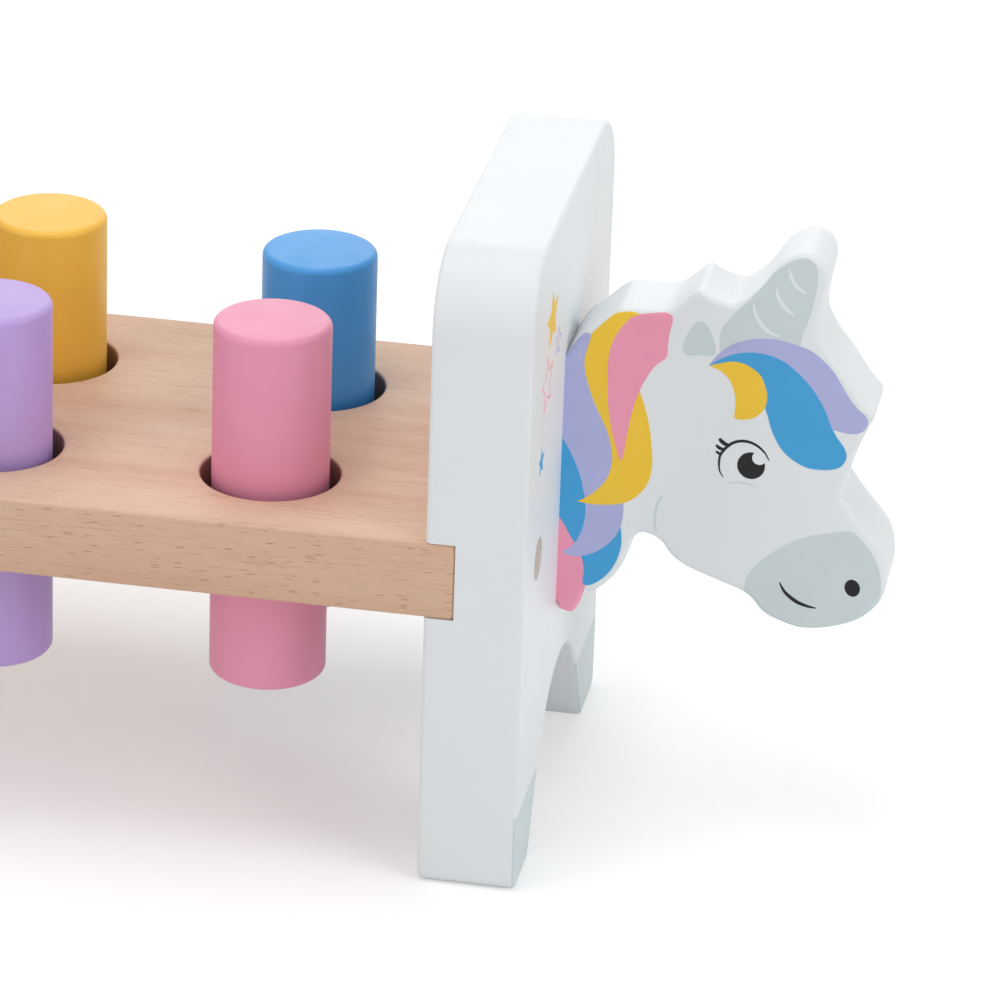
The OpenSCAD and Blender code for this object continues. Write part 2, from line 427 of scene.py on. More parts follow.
class Graph:
    """Wires one node tree: adds nodes, sets their inputs and links their sockets."""

    def __init__(self, tree: bpy.types.NodeTree) -> None:
        """Start on an emptied tree."""
        self.tree = tree
        tree.nodes.clear()

    def add(self, kind: str, inputs: Inputs | None = None, **settings: object) -> bpy.types.Node:
        """Add a node.

        Args:
            kind: Name of the node's type.
            inputs: Value or source socket of each input, by the input's name or number.
            settings: Properties of the node itself.

        Returns:
            The new node.
        """
        node = self.tree.nodes.new(kind)
        for name, value in settings.items():
            setattr(node, name, value)
        for key, value in (inputs or {}).items():
            if isinstance(value, bpy.types.NodeSocket):
                self.tree.links.new(value, node.inputs[key])
            else:
                node.inputs[key].default_value = value
        return node

    def math(self, operation: str, *values: object) -> bpy.types.NodeSocket:
        """The result of a math node on some values or sockets."""
        node = self.add("ShaderNodeMath", dict(enumerate(values)), operation=operation)
        return node.outputs[0]

    def ramp(self, value: object, low: float, high: float, to_low: float,
             to_high: float) -> bpy.types.NodeSocket:
        """A value carried smoothly from one range to another, held at both ends.

        Args:
            value: The value or its socket.
            low: Start of its range.
            high: End of its range.
            to_low: What the start becomes.
            to_high: What the end becomes.

        Returns:
            The socket of the result.
        """
        node = self.add("ShaderNodeMapRange", {0: value, 1: low, 2: high, 3: to_low, 4: to_high},
                        interpolation_type="SMOOTHSTEP")
        return node.outputs[0]

    def mix(self, share: object, first: object, second: object) -> bpy.types.NodeSocket:
        """A colour mixed from two."""
        node = self.add("ShaderNodeMix", {0: share, 6: first, 7: second}, data_type="RGBA")
        return node.outputs[2]

    def noise(self, vector: object, scale: float, detail: float, rough: float) -> bpy.types.NodeSocket:
        """A noise value over a vector.

        Args:
            vector: Socket of the vector.
            scale: Noise cells in a unit of the vector.
            detail: Number of finer layers.
            rough: Strength of the finer layers.

        Returns:
            The socket of the noise.
        """
        node = self.add("ShaderNodeTexNoise", {"Vector": vector, "Scale": scale, "Detail": detail,
                                               "Roughness": rough})
        return node.outputs[0]


def new_group(kind: str, name: str, inputs: dict[str, str],
              outputs: dict[str, str]) -> tuple[Graph, bpy.types.Node, bpy.types.Node]:
    """An empty node group with named sockets.

    Args:
        kind: Type of the node tree.
        name: Name of the group.
        inputs: Socket type of each input, by name.
        outputs: Socket type of each output, by name.

    Returns:
        The graph of the group, its input node and its output node.
    """
    tree = bpy.data.node_groups.new(name, kind)
    for socket, socket_type in inputs.items():
        tree.interface.new_socket(name=socket, in_out="INPUT", socket_type=socket_type)
    for socket, socket_type in outputs.items():
        tree.interface.new_socket(name=socket, in_out="OUTPUT", socket_type=socket_type)
    graph = Graph(tree)
    return graph, graph.add("NodeGroupInput"), graph.add("NodeGroupOutput")


class Effects:
    """Shader node groups that several finishes share, each built once."""

    TIMBER = "Timber figure"
    COAT = "Sprayed coat"
    # Length along the grain, width and depth of a fine and a long fibre, a band and a ray
    FINE_CELL: Cell = (5 * MM, 0.3 * MM, 0.3 * MM)
    LONG_CELL: Cell = (45 * MM, 1.1 * MM, 1.1 * MM)
    BAND_CELL: Cell = (160 * MM, 9 * MM, 14 * MM)
    RAY_CELL: Cell = (4.2 * MM, 0.4 * MM, 14 * MM)
    # A ray fades from its middle between these distances, and its cell's chance sets how dark it is
    RAY_RIM: Point = (0.08, 0.33)
    RAY_PICK: Point = (0.1, 0.9)
    # Nearly all values of a noise lie between these
    NOISE_SPAN: Point = (0.3, 0.7)
    FINE_SHARE = 0.7
    # Cloudy patches and smudges in a cell of the coat's fine peel
    CLOUD_SCALE = 0.06
    SMUDGE_SCALE = 0.13

    @classmethod
    def timber(cls) -> bpy.types.NodeTree:
        """Figure of beech with its grain along the vector's X.

        Returns:
            The group, which puts out fibres, broad bands and the short dark rays.
        """
        found = bpy.data.node_groups.get(cls.TIMBER)
        if found:
            return found
        graph, source, sink = new_group(
            "ShaderNodeTree", cls.TIMBER, {"Vector": "NodeSocketVector"},
            {n: "NodeSocketFloat" for n in ("Fibres", "Bands", "Rays")})
        vector = source.outputs["Vector"]

        def stretched(cell: Cell) -> bpy.types.NodeSocket:
            """The vector counted in cells.

            Args:
                cell: Length along the grain, and width and depth across it.

            Returns:
                The socket of the new vector.
            """
            turned = graph.add("ShaderNodeMapping", {"Vector": vector, "Rotation": (math.pi / 4, 0, 0)})
            scaled = graph.add("ShaderNodeMapping", {
                "Vector": turned.outputs[0], "Scale": tuple(1 / side for side in cell)})
            return scaled.outputs[0]

        fine = graph.noise(stretched(cls.FINE_CELL), 1.0, detail=3.0, rough=0.6)
        long = graph.noise(stretched(cls.LONG_CELL), 1.0, detail=3.0, rough=0.6)
        fibres = graph.math("ADD", graph.math("MULTIPLY", fine, cls.FINE_SHARE),
                            graph.math("MULTIPLY", long, 1 - cls.FINE_SHARE))
        bands = graph.noise(stretched(cls.BAND_CELL), 1.0, detail=2.0, rough=0.5)
        cells = graph.add("ShaderNodeTexVoronoi", {"Vector": stretched(cls.RAY_CELL), "Scale": 1.0})
        lens = graph.ramp(cells.outputs["Distance"], *cls.RAY_RIM, 1.0, 0.0)
        pick = graph.add("ShaderNodeSeparateColor", {0: cells.outputs["Color"]})
        shown = graph.ramp(pick.outputs[0], *cls.RAY_PICK, 0.0, 1.0)
        graph.tree.links.new(fibres, sink.inputs["Fibres"])
        graph.tree.links.new(bands, sink.inputs["Bands"])
        graph.tree.links.new(graph.math("MULTIPLY", lens, shown), sink.inputs["Rays"])
        return graph.tree

    @classmethod
    def coat(cls) -> bpy.types.NodeTree:
        """Unevenness of a sprayed or printed coat.

        Returns:
            The group, which puts out cloudy tone, uneven gloss and the height of its fine peel.
        """
        found = bpy.data.node_groups.get(cls.COAT)
        if found:
            return found
        graph, source, sink = new_group(
            "ShaderNodeTree", cls.COAT,
            {"Vector": "NodeSocketVector", "Peel Size": "NodeSocketFloat"},
            {n: "NodeSocketFloat" for n in ("Tone", "Gloss", "Height")})
        cell = graph.add("ShaderNodeVectorMath", {
            0: source.outputs["Vector"],
            3: graph.math("DIVIDE", 1.0, source.outputs["Peel Size"])}, operation="SCALE")
        vector = cell.outputs[0]
        peel = graph.noise(vector, 1.0, detail=2.0, rough=0.55)
        cloud = graph.noise(vector, cls.CLOUD_SCALE, detail=3.0, rough=0.6)
        smudge = graph.noise(vector, cls.SMUDGE_SCALE, detail=4.0, rough=0.65)
        graph.tree.links.new(graph.ramp(cloud, *cls.NOISE_SPAN, 0.0, 1.0), sink.inputs["Tone"])
        graph.tree.links.new(graph.ramp(smudge, *cls.NOISE_SPAN, 0.0, 1.0), sink.inputs["Gloss"])
        graph.tree.links.new(peel, sink.inputs["Height"])
        return graph.tree


@dataclass(frozen=True)
class Finish:
    """A surface finish.

    Attributes:
        name: Name of its material.
        slot: The record's material slot that it stands for, if there is one; not used.
        colour: Its main colour.
        grain: The way the timber's grain runs in it or under it.
    """

    name: str
    slot: str | None
    colour: Colour
    grain: Grain = Grain.ALONG_X

    def material(self) -> bpy.types.Material:
        """The finish's material, made on first use.

        Returns:
            The material.
        """
        found = bpy.data.materials.get(self.name)
        if found:
            return found
        material = bpy.data.materials.new(self.name)
        material.use_nodes = True
        graph = Graph(material.node_tree)
        shader = graph.add("ShaderNodeBsdfPrincipled")
        output = graph.add("ShaderNodeOutputMaterial")
        graph.tree.links.new(shader.outputs[0], output.inputs[0])
        place = graph.add("ShaderNodeTexCoord").outputs["Object"]
        self.wire(graph, shader, place)
        return material

    def wire(self, graph: Graph, shader: bpy.types.Node, place: bpy.types.NodeSocket) -> None:
        """Wire the finish into its material: each kind of finish has its own way."""
        raise NotImplementedError

    def timber(self, graph: Graph, place: bpy.types.NodeSocket) -> bpy.types.Node:
        """The timber figure laid along this finish's grain."""
        turned = graph.add("ShaderNodeMapping", {"Vector": place, "Rotation": self.grain.value})
        return graph.add("ShaderNodeGroup", {"Vector": turned.outputs[0]}, node_tree=Effects.timber())


@dataclass(frozen=True)
class BareBeech(Finish):
    """Planed beech under a thin clear oil, with its rays clearest on sawn sides.

    Its hole walls are darker, partly for their end grain and partly as painted shade in the holes.

    Attributes:
        band_colour: Colour of the broad bands.
        fibre_colour: Colour of the darkest fibres.
        ray_colour: Colour of the short rays.
        side_colour: Colour that sawn sides lean to.
        bore_grain_and_shade_colour: Colour that drilled walls lean to.
        shine: Strength of its mirror-like part.
        gloss: Least and greatest roughness.
        depth: Depth of its relief.
        relief: Strength of that relief.
        ray_depth: How far the rays sink, as a share of the fibres' relief.
        band_span: Bands' values from where they start to show to where they show fully.
        band_share: How far the bands show at most.
        fibre_span: The same for the fibres.
        fibre_share: The same for the fibres.
        ray_shares: How far the rays show on planed faces and on sawn sides.
        side_share: How far sawn sides lean to their colour.
        bore_grain_and_shade_share: How far drilled walls lean to theirs.
    """

    band_colour: Colour = srgb(214, 172, 146)
    fibre_colour: Colour = srgb(190, 146, 118)
    ray_colour: Colour = srgb(168, 112, 86)
    side_colour: Colour = srgb(213, 170, 137)
    # Drilled hole walls lean to this darker colour, partly for their end grain and partly as painted shade
    # inside the holes
    bore_grain_and_shade_colour: Colour = srgb(128, 98, 88)
    shine: float = 0.25
    gloss: Point = (0.46, 0.62)
    depth: float = 0.06 * MM
    relief: float = 0.35
    ray_depth: float = 0.5
    band_span: Point = (0.35, 0.7)
    band_share: float = 0.9
    fibre_span: Point = (0.5, 0.72)
    fibre_share: float = 0.6
    ray_shares: Point = (0.15, 0.7)
    side_share: float = 0.3
    # How far the hole walls are darkened, end grain and painted shade together
    bore_grain_and_shade_share: float = 0.8

    def wire(self, graph: Graph, shader: bpy.types.Node, place: bpy.types.NodeSocket) -> None:
        """Mix bands, fibres and rays over the timber's colour.

        Args:
            graph: Graph of the material.
            shader: Its surface shader.
            place: Object coordinates.
        """
        figure = self.timber(graph, place).outputs
        bands = graph.ramp(figure["Bands"], *self.band_span, 0.0, self.band_share)
        fibres = graph.ramp(figure["Fibres"], *self.fibre_span, 0.0, self.fibre_share)
        sawn = graph.add("ShaderNodeAttribute", attribute_name=Faces.SAWN.value).outputs["Fac"]
        drilled = graph.add("ShaderNodeAttribute", attribute_name=Faces.DRILLED.value).outputs["Fac"]
        rays = graph.math("MULTIPLY", figure["Rays"], graph.ramp(sawn, 0.0, 1.0, *self.ray_shares))
        colour = graph.mix(graph.math("MULTIPLY", sawn, self.side_share), self.colour, self.side_colour)
        colour = graph.mix(bands, colour, self.band_colour)
        colour = graph.mix(fibres, colour, self.fibre_colour)
        colour = graph.mix(rays, colour, self.ray_colour)
        # Painted shade: the walls inside the holes are darkened, together with their darker end grain
        colour = graph.mix(graph.math("MULTIPLY", drilled, self.bore_grain_and_shade_share), colour, self.bore_grain_and_shade_colour)
        sunk = graph.math("MULTIPLY", figure["Rays"], self.ray_depth)
        height = graph.math("SUBTRACT", figure["Fibres"], sunk)
        bump = graph.add("ShaderNodeBump", {
            "Strength": self.relief, "Distance": self.depth, "Height": height})
        rough = graph.ramp(figure["Fibres"], *Effects.NOISE_SPAN, *self.gloss)
        shader.inputs["Specular IOR Level"].default_value = self.shine
        graph.tree.links.new(colour, shader.inputs["Base Color"])
        graph.tree.links.new(rough, shader.inputs["Roughness"])
        graph.tree.links.new(bump.outputs[0], shader.inputs["Normal"])


@dataclass(frozen=True)
class Coating(Finish):
    """A coat of paint, lacquer or printing ink over timber.

    Attributes:
        gloss: Least and greatest roughness.
        peel: Size of the fine peel in the coat.
        depth: Depth of that peel.
        show_grain: How far the timber under the coat shows in its relief.
        cloud: Share of light that the cloudy patches lose.
        shine: Strength of its mirror-like part.
        relief: Strength of its relief.
    """

    gloss: Point = (0.34, 0.44)
    peel: float = 0.9 * MM
    depth: float = 0.012 * MM
    show_grain: float = 0.3
    cloud: float = 0.04
    shine: float = 0.5
    relief: float = 0.5

    def wire(self, graph: Graph, shader: bpy.types.Node, place: bpy.types.NodeSocket) -> None:
        """Let tone, gloss and relief vary as in a thin coat.

        Args:
            graph: Graph of the material.
            shader: Its surface shader.
            place: Object coordinates.
        """
        coat = graph.add("ShaderNodeGroup", {"Vector": place, "Peel Size": self.peel},
                         node_tree=Effects.coat()).outputs
        figure = self.timber(graph, place).outputs
        colour = graph.mix(coat["Tone"], self.colour, shaded(self.colour, 1 - self.cloud))
        grain = graph.math("MULTIPLY", figure["Fibres"], self.show_grain)
        height = graph.math("ADD", coat["Height"], grain)
        bump = graph.add("ShaderNodeBump", {
            "Strength": self.relief, "Distance": self.depth, "Height": height})
        rough = graph.ramp(coat["Gloss"], 0.0, 1.0, *self.gloss)
        shader.inputs["Specular IOR Level"].default_value = self.shine
        graph.tree.links.new(colour, shader.inputs["Base Color"])
        graph.tree.links.new(rough, shader.inputs["Roughness"])
        graph.tree.links.new(bump.outputs[0], shader.inputs["Normal"])


@dataclass(frozen=True)
class Rubber(Finish):
    """Moulded black rubber with a dry bloom.

    Attributes:
        bloom: Colour of the bloom.
        gloss: Least and greatest roughness.
        peel: Size of its fine pits.
        depth: Depth of those pits.
        relief: Strength of their relief.
    """

    bloom: Colour = srgb(74, 72, 72)
    gloss: Point = (0.6, 0.78)
    peel: float = 0.35 * MM
    depth: float = 0.02 * MM
    relief: float = 0.6

    def wire(self, graph: Graph, shader: bpy.types.Node, place: bpy.types.NodeSocket) -> None:
        """Let the bloom lie in cloudy patches.

        Args:
            graph: Graph of the material.
            shader: Its surface shader.
            place: Object coordinates.
        """
        coat = graph.add("ShaderNodeGroup", {"Vector": place, "Peel Size": self.peel},
                         node_tree=Effects.coat()).outputs
        colour = graph.mix(coat["Tone"], self.colour, self.bloom)
        bump = graph.add("ShaderNodeBump", {
            "Strength": self.relief, "Distance": self.depth, "Height": coat["Height"]})
        rough = graph.ramp(coat["Gloss"], 0.0, 1.0, *self.gloss)
        graph.tree.links.new(colour, shader.inputs["Base Color"])
        graph.tree.links.new(rough, shader.inputs["Roughness"])
        graph.tree.links.new(bump.outputs[0], shader.inputs["Normal"])


BEECH = BareBeech("oiled_beech", "beech", srgb(226, 192, 166))
DOWEL_WOOD = BareBeech("dowel_end_grain", "dowel_wood", srgb(204, 194, 184), Grain.ALONG_X,
                       srgb(186, 174, 162), srgb(140, 124, 112), srgb(118, 100, 90))
WHITE = Coating("sprayed_white", "white_lacquer", srgb(237, 241, 243), Grain.ALONG_Z, (0.36, 0.44),
                depth=0.006 * MM, show_grain=0.1, cloud=0.008, shine=0.25)
RUBBER = Rubber("moulded_rubber", "black_rubber", srgb(34, 33, 34))


def peg_paint(name: str, colour: Colour) -> Coating:
    """Satin paint on a turned peg."""
    return Coating(f"{name}_peg_paint", f"{name}_paint", colour, Grain.ALONG_Z, (0.42, 0.49),
                   show_grain=0.6, depth=0.02 * MM)


def ink(name: str, slot: str | None, colour: Colour) -> Coating:
    """Flat printing ink on the white lacquer."""
    return Coating(f"{name}_ink", slot, colour, Grain.ALONG_Z, (0.36, 0.48), peel=0.4 * MM,
                   depth=0.006 * MM, show_grain=0.2, cloud=0.03, shine=0.25)


PINK = peg_paint("pink", srgb(243, 156, 185))
PURPLE = peg_paint("purple", srgb(193, 165, 229))
BLUE = peg_paint("blue", srgb(71, 162, 233))
YELLOW = peg_paint("yellow", srgb(254, 198, 70))
PINK_INK = ink("pink", "pink_paint", srgb(250, 163, 189))
LILAC_INK = ink("lilac", "purple_paint", srgb(183, 187, 231))
BLUE_INK = ink("blue", "blue_paint", srgb(74, 169, 226))
YELLOW_INK = ink("yellow", "yellow_paint", srgb(252, 207, 66))
GREY_INK = ink("grey", None, srgb(213, 224, 226))
PALE_INK = replace(WHITE, name="pale_ink")
BLACK_INK = ink("black", None, srgb(28, 29, 33))


class Trees:
    """Geometry node trees, each built once, for what is turned, repeated or star-shaped."""

    STAR_POINTS = 5
    # Rounding of a star's tips as a share of its radius, and the least blank middle that is cut out
    TIP_SHARE = 0.05
    LEAST_HOLLOW = 0.01
    # Inputs that every tree has, to set its shape out in columns and rows
    GRID = {"Columns": "NodeSocketInt", "Rows": "NodeSocketInt", "Pitch": "NodeSocketFloat",
            "Row Gap": "NodeSocketFloat", "Turn": "NodeSocketVector", "Centre": "NodeSocketVector",
            "Material": "NodeSocketMaterial"}

    @classmethod
    def start(cls, name: str, inputs: dict[str, str]) -> tuple[Graph, bpy.types.Node, bpy.types.Node]:
        """An empty tree with a geometry input and output and the named inputs."""
        return new_group("GeometryNodeTree", name, {"Geometry": "NodeSocketGeometry", **inputs},
                         {"Geometry": "NodeSocketGeometry"})

    @classmethod
    def repeat(cls, graph: Graph, source: bpy.types.Node, sink: bpy.types.Node,
               shape: bpy.types.NodeSocket) -> None:
        """End a tree: set a shape out in columns and rows, as plain mesh in its material.

        Args:
            graph: Graph of the tree.
            source: Its input node, with the inputs named in GRID.
            sink: Its output node.
            shape: The shape that repeats.
        """
        given = source.outputs
        across = [graph.math("MULTIPLY", graph.math("SUBTRACT", given[count], 1), given[gap])
                  for count, gap in (("Columns", "Pitch"), ("Rows", "Row Gap"))]
        points = graph.add("GeometryNodeMeshGrid", {
            "Size X": across[0], "Size Y": across[1], "Vertices X": given["Columns"],
            "Vertices Y": given["Rows"]})
        turn = graph.add("FunctionNodeEulerToRotation", {0: given["Turn"]})
        copies = graph.add("GeometryNodeInstanceOnPoints", {
            "Points": points.outputs["Mesh"], "Instance": shape, "Rotation": turn.outputs[0]})
        moved = graph.add("GeometryNodeTransform", {
            "Geometry": copies.outputs[0], "Translation": given["Centre"]})
        real = graph.add("GeometryNodeRealizeInstances", {"Geometry": moved.outputs[0]})
        dressed = graph.add("GeometryNodeSetMaterial", {
            "Geometry": real.outputs[0], "Material": given["Material"]})
        graph.tree.links.new(dressed.outputs[0], sink.inputs["Geometry"])

    @classmethod
    def turned(cls) -> bpy.types.NodeTree:
        """Revolves a profile, drawn as radius along X and height along Z, and repeats it.

        Returns:
            The tree.
        """
        name = "Turned and repeated"
        found = bpy.data.node_groups.get(name)
        if found:
            return found
        graph, source, sink = cls.start(name, {"Segments": "NodeSocketInt", **cls.GRID})
        line = graph.add("GeometryNodeMeshToCurve", {"Mesh": source.outputs["Geometry"]})
        at = graph.add("ShaderNodeSeparateXYZ", {0: graph.add("GeometryNodeInputPosition").outputs[0]})
        sized = graph.add("GeometryNodeSetCurveRadius", {
            "Curve": line.outputs[0], "Radius": at.outputs["X"]})
        axis = graph.add("ShaderNodeCombineXYZ", {"Z": at.outputs["Z"]})
        straight = graph.add("GeometryNodeSetPosition", {
            "Geometry": sized.outputs[0], "Position": axis.outputs[0]})
        circle = graph.add("GeometryNodeCurvePrimitiveCircle", {
            "Resolution": source.outputs["Segments"], "Radius": 1.0})
        body = graph.add("GeometryNodeCurveToMesh", {
            "Curve": straight.outputs[0], "Profile Curve": circle.outputs[0],
            "Scale": graph.add("GeometryNodeInputRadius").outputs[0], "Fill Caps": True})
        cls.repeat(graph, source, sink, body.outputs[0])
        return graph.tree

    @classmethod
    def ring(cls) -> bpy.types.NodeTree:
        """Closes a round cord into a ring, and repeats it.

        Returns:
            The tree.
        """
        name = "Rings"
        found = bpy.data.node_groups.get(name)
        if found:
            return found
        graph, source, sink = cls.start(name, {
            "Ring Radius": "NodeSocketFloat", "Cord Radius": "NodeSocketFloat",
            "Segments": "NodeSocketInt", "Cord Segments": "NodeSocketInt", **cls.GRID})
        given = source.outputs
        ring = graph.add("GeometryNodeCurvePrimitiveCircle", {
            "Resolution": given["Segments"], "Radius": given["Ring Radius"]})
        cord = graph.add("GeometryNodeCurvePrimitiveCircle", {
            "Resolution": given["Cord Segments"], "Radius": given["Cord Radius"]})
        body = graph.add("GeometryNodeCurveToMesh", {
            "Curve": ring.outputs[0], "Profile Curve": cord.outputs[0]})
        cls.repeat(graph, source, sink, body.outputs[0])
        return graph.tree

    @classmethod
    def star(cls) -> bpy.types.NodeTree:
        """Prints a star, whole or as a line, as a thin film that lies in X and Y.

        Returns:
            The tree.
        """
        name = "Printed star"
        found = bpy.data.node_groups.get(name)
        if found:
            return found
        graph, source, sink = cls.start(name, {
            "Outer Radius": "NodeSocketFloat", "Inner Radius": "NodeSocketFloat",
            "Hollow Share": "NodeSocketFloat", "Lean": "NodeSocketFloat", "Film": "NodeSocketFloat",
            **cls.GRID})
        given = source.outputs

        def outline(share: object) -> bpy.types.NodeSocket:
            """A star's outline with its tips a little rounded.

            Args:
                share: Its size as a share of the whole star.

            Returns:
                The socket of the curve.
            """
            curve = graph.add("GeometryNodeCurveStar", {
                "Points": cls.STAR_POINTS,
                "Inner Radius": graph.math("MULTIPLY", given["Inner Radius"], share),
                "Outer Radius": graph.math("MULTIPLY", given["Outer Radius"], share)})
            turn = graph.add("ShaderNodeCombineXYZ", {"Z": given["Lean"]})
            leaned = graph.add("GeometryNodeTransform", {
                "Geometry": curve.outputs[0],
                "Rotation": graph.add("FunctionNodeEulerToRotation", {0: turn.outputs[0]}).outputs[0]})
            tip = graph.math("MULTIPLY", given["Outer Radius"], cls.TIP_SHARE)
            eased = graph.add("GeometryNodeFilletCurve", {
                "Curve": leaned.outputs[0], "Count": 3, "Radius": tip, "Limit Radius": True}, mode="POLY")
            return eased.outputs[0]

        both = graph.add("GeometryNodeJoinGeometry")
        graph.tree.links.new(outline(1.0), both.inputs[0])
        graph.tree.links.new(outline(given["Hollow Share"]), both.inputs[0])
        hollow = graph.math("GREATER_THAN", given["Hollow Share"], cls.LEAST_HOLLOW)
        pick = graph.add("GeometryNodeSwitch", {
            "Switch": hollow, "False": outline(1.0), "True": both.outputs[0]}, input_type="GEOMETRY")
        base = graph.add("GeometryNodeFillCurve", {"Curve": pick.outputs[0]})
        raised = graph.add("GeometryNodeExtrudeMesh", {
            "Mesh": base.outputs[0], "Offset Scale": given["Film"], "Individual": False})
        under = graph.add("GeometryNodeFlipFaces", {"Mesh": base.outputs[0]})
        closed = graph.add("GeometryNodeJoinGeometry")
        graph.tree.links.new(raised.outputs[0], closed.inputs[0])
        graph.tree.links.new(under.outputs[0], closed.inputs[0])
        welded = graph.add("GeometryNodeMergeByDistance", {
            "Geometry": closed.outputs[0], "Distance": MICRON})
        cls.repeat(graph, source, sink, welded.outputs[0])
        return graph.tree

    @staticmethod
    def grow(piece: bpy.types.Object, tree: bpy.types.NodeTree, values: dict[str, object]) -> None:
        """Run a tree on a piece and keep its result as the piece's plain mesh.

        Args:
            piece: The object that the tree starts from.
            tree: The tree.
            values: Value of each named input.
        """
        modifier = piece.modifiers.new("grow", "NODES")
        modifier.node_group = tree
        grid = {"Columns": 1, "Rows": 1, "Pitch": 0.0, "Row Gap": 0.0}
        wanted = {**grid, **values}
        for item in tree.interface.items_tree:
            if item.item_type == "SOCKET" and item.in_out == "INPUT" and item.name in wanted:
                modifier[item.identifier] = wanted[item.name]
        settle(piece)
        face_out(piece.data)


def turned_piece(name: str, profile: Sequence[Point], **inputs: object) -> bpy.types.Object:
    """A turned piece, or several alike in one mesh.

    Args:
        name: Name of the piece.
        profile: Radius and height of each ring, from foot to top.
        inputs: Inputs of the turning tree, with spaces as underscores.

    Returns:
        The piece, as plain mesh.
    """
    mesh = bpy.data.meshes.new(name)
    mesh.from_pydata([(r, 0, z) for r, z in profile], [(i, i + 1) for i in range(len(profile) - 1)], [])
    piece = make_piece(name, mesh)
    values = {"Segments": TURN_SEGMENTS, **{k.replace("_", " ").title(): v for k, v in inputs.items()}}
    Trees.grow(piece, Trees.turned(), values)
    shade(piece.data)
    return piece


def finish_piece(piece: bpy.types.Object, body: str, finish: Finish, nodes: Iterable[str] = ()) -> None:
    """Dress a piece, set it on its body and hide the nodes that it stands for.

    Args:
        piece: The piece.
        body: Body that it rides on.
        finish: Its finish.
        nodes: Nodes that it stands for.
    """
    piece.data.materials.clear()
    piece.data.materials.append(finish.material())
    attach(piece, body)
    if nodes:
        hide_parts(*nodes)
    LOG.info("%s: %d faces in %s on %s", piece.name, len(piece.data.polygons), finish.name, body)


@dataclass
class Layout:
    """Where the holes and pegs stand, read from the frame.

    Attributes:
        columns: Pegs in a row.
        pitch: Distance between neighbouring pegs of a row.
        row_gap: Distance between the rows.
        middle: Middle of the field of holes, at the plank's mid-height.
    """

    columns: int
    pitch: float
    row_gap: float
    middle: Vector

    @classmethod
    def from_frame(cls) -> "Layout":
        """Read the pegs' places.

        Returns:
            The layout.
        """
        columns = sum(name.startswith(f"peg_{Row.RIGHT.value}_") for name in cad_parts)
        first = cls.centre(Row.RIGHT, 1)
        last = cls.centre(Row.LEFT, columns)
        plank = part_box("bench_plank")
        return cls(columns, (first.x - last.x) / (columns - 1), last.y - first.y,
                   Vector(((first.x + last.x) / 2, (first.y + last.y) / 2, (plank[0].z + plank[1].z) / 2)))

    @staticmethod
    def centre(row: Row, column: int) -> Vector:
        """Middle of a peg."""
        low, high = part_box(f"peg_{row.value}_{column}")
        return (low + high) / 2

    def grid(self) -> dict[str, object]:
        """Inputs that set a shape out at every hole."""
        return {"Columns": self.columns, "Rows": 2, "Pitch": self.pitch, "Row Gap": self.row_gap,
                "Centre": self.middle}


@dataclass
class Dowels:
    """Pairs of glued dowels, and the bores that they fill.

    Attributes:
        radius: Radius of a dowel.
        room: Room round it in its bore.
        end_break: Broken edge of its flush end.
        bevel: Bevel of its blind end.
        glue_gap: Room for glue past the blind end.
        segments: Stretches round a dowel.
    """

    radius: float = 4 * MM
    room: float = 0.06 * MM
    end_break: float = 0.25 * MM
    bevel: float = 0.8 * MM
    glue_gap: float = 0.4 * MM
    segments: int = 48

    def profile(self, length: float) -> list[Point]:
        """Section of a dowel: flush end with a broken edge, bevelled blind end.

        Args:
            length: Length of the dowel.

        Returns:
            Radius and height of each ring, from the flush end.
        """
        r = self.radius
        return [(r - self.end_break, 0), (r, self.end_break), (r, length - self.bevel),
                (r - self.bevel, length)]

    def bores(self, name: str) -> bpy.types.Object:
        """A cutting body for the bores of a pair of dowels.

        Args:
            name: Node of the dowels.

        Returns:
            The cutting body.
        """
        wide = self.radius + self.room
        deep = self.length(name) + self.glue_gap
        return self.pair(f"{name}_bores", name, [(wide, -OVERRUN), (wide, deep)])

    @staticmethod
    def length(node: str) -> float:
        """Length of a node's dowels."""
        low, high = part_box(node)
        return high.x - low.x

    def pair(self, name: str, node: str, profile: Sequence[Point], **dress: object) -> bpy.types.Object:
        """Turn a profile at the places of a node's dowels, along X.

        Args:
            name: Name of the new object.
            node: Node of the dowels.
            profile: Radius and height of each ring, from the visible end.
            dress: Material of the pair, where it is more than a cutting body.

        Returns:
            The object.
        """
        low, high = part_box(node)
        upright = high.y - low.y < 4 * self.radius
        outer = high.x if high.x > 0 else low.x
        if upright:
            rows, columns, spread = 1, 2, {"pitch": high.z - low.z - 2 * self.radius}
            turned = (0, 0, 0)
        else:
            rows, columns, spread = 2, 1, {"row_gap": high.y - low.y - 2 * self.radius}
            turned = (0, -math.pi / 2 if high.x > 0 else math.pi / 2, 0)
        piece = turned_piece(name, profile, columns=columns, rows=rows, turn=turned,
                             segments=self.segments, centre=(0, 0, 0), **spread, **dress)
        if upright:
            piece.data.transform(Matrix.Rotation(-math.pi / 2, 4, "Y"))
        piece.data.transform(Matrix.Translation((outer, (low.y + high.y) / 2, (low.z + high.z) / 2)))
        return piece

    def build(self) -> None:
        """Model and dress every pair."""
        for node in ("head_panel_dowels", "tail_panel_dowels", "head_dowels"):
            piece = self.pair(f"turned_{node}", node, self.profile(self.length(node)),
                              material=DOWEL_WOOD.material())
            finish_piece(piece, BENCH, DOWEL_WOOD, [node])


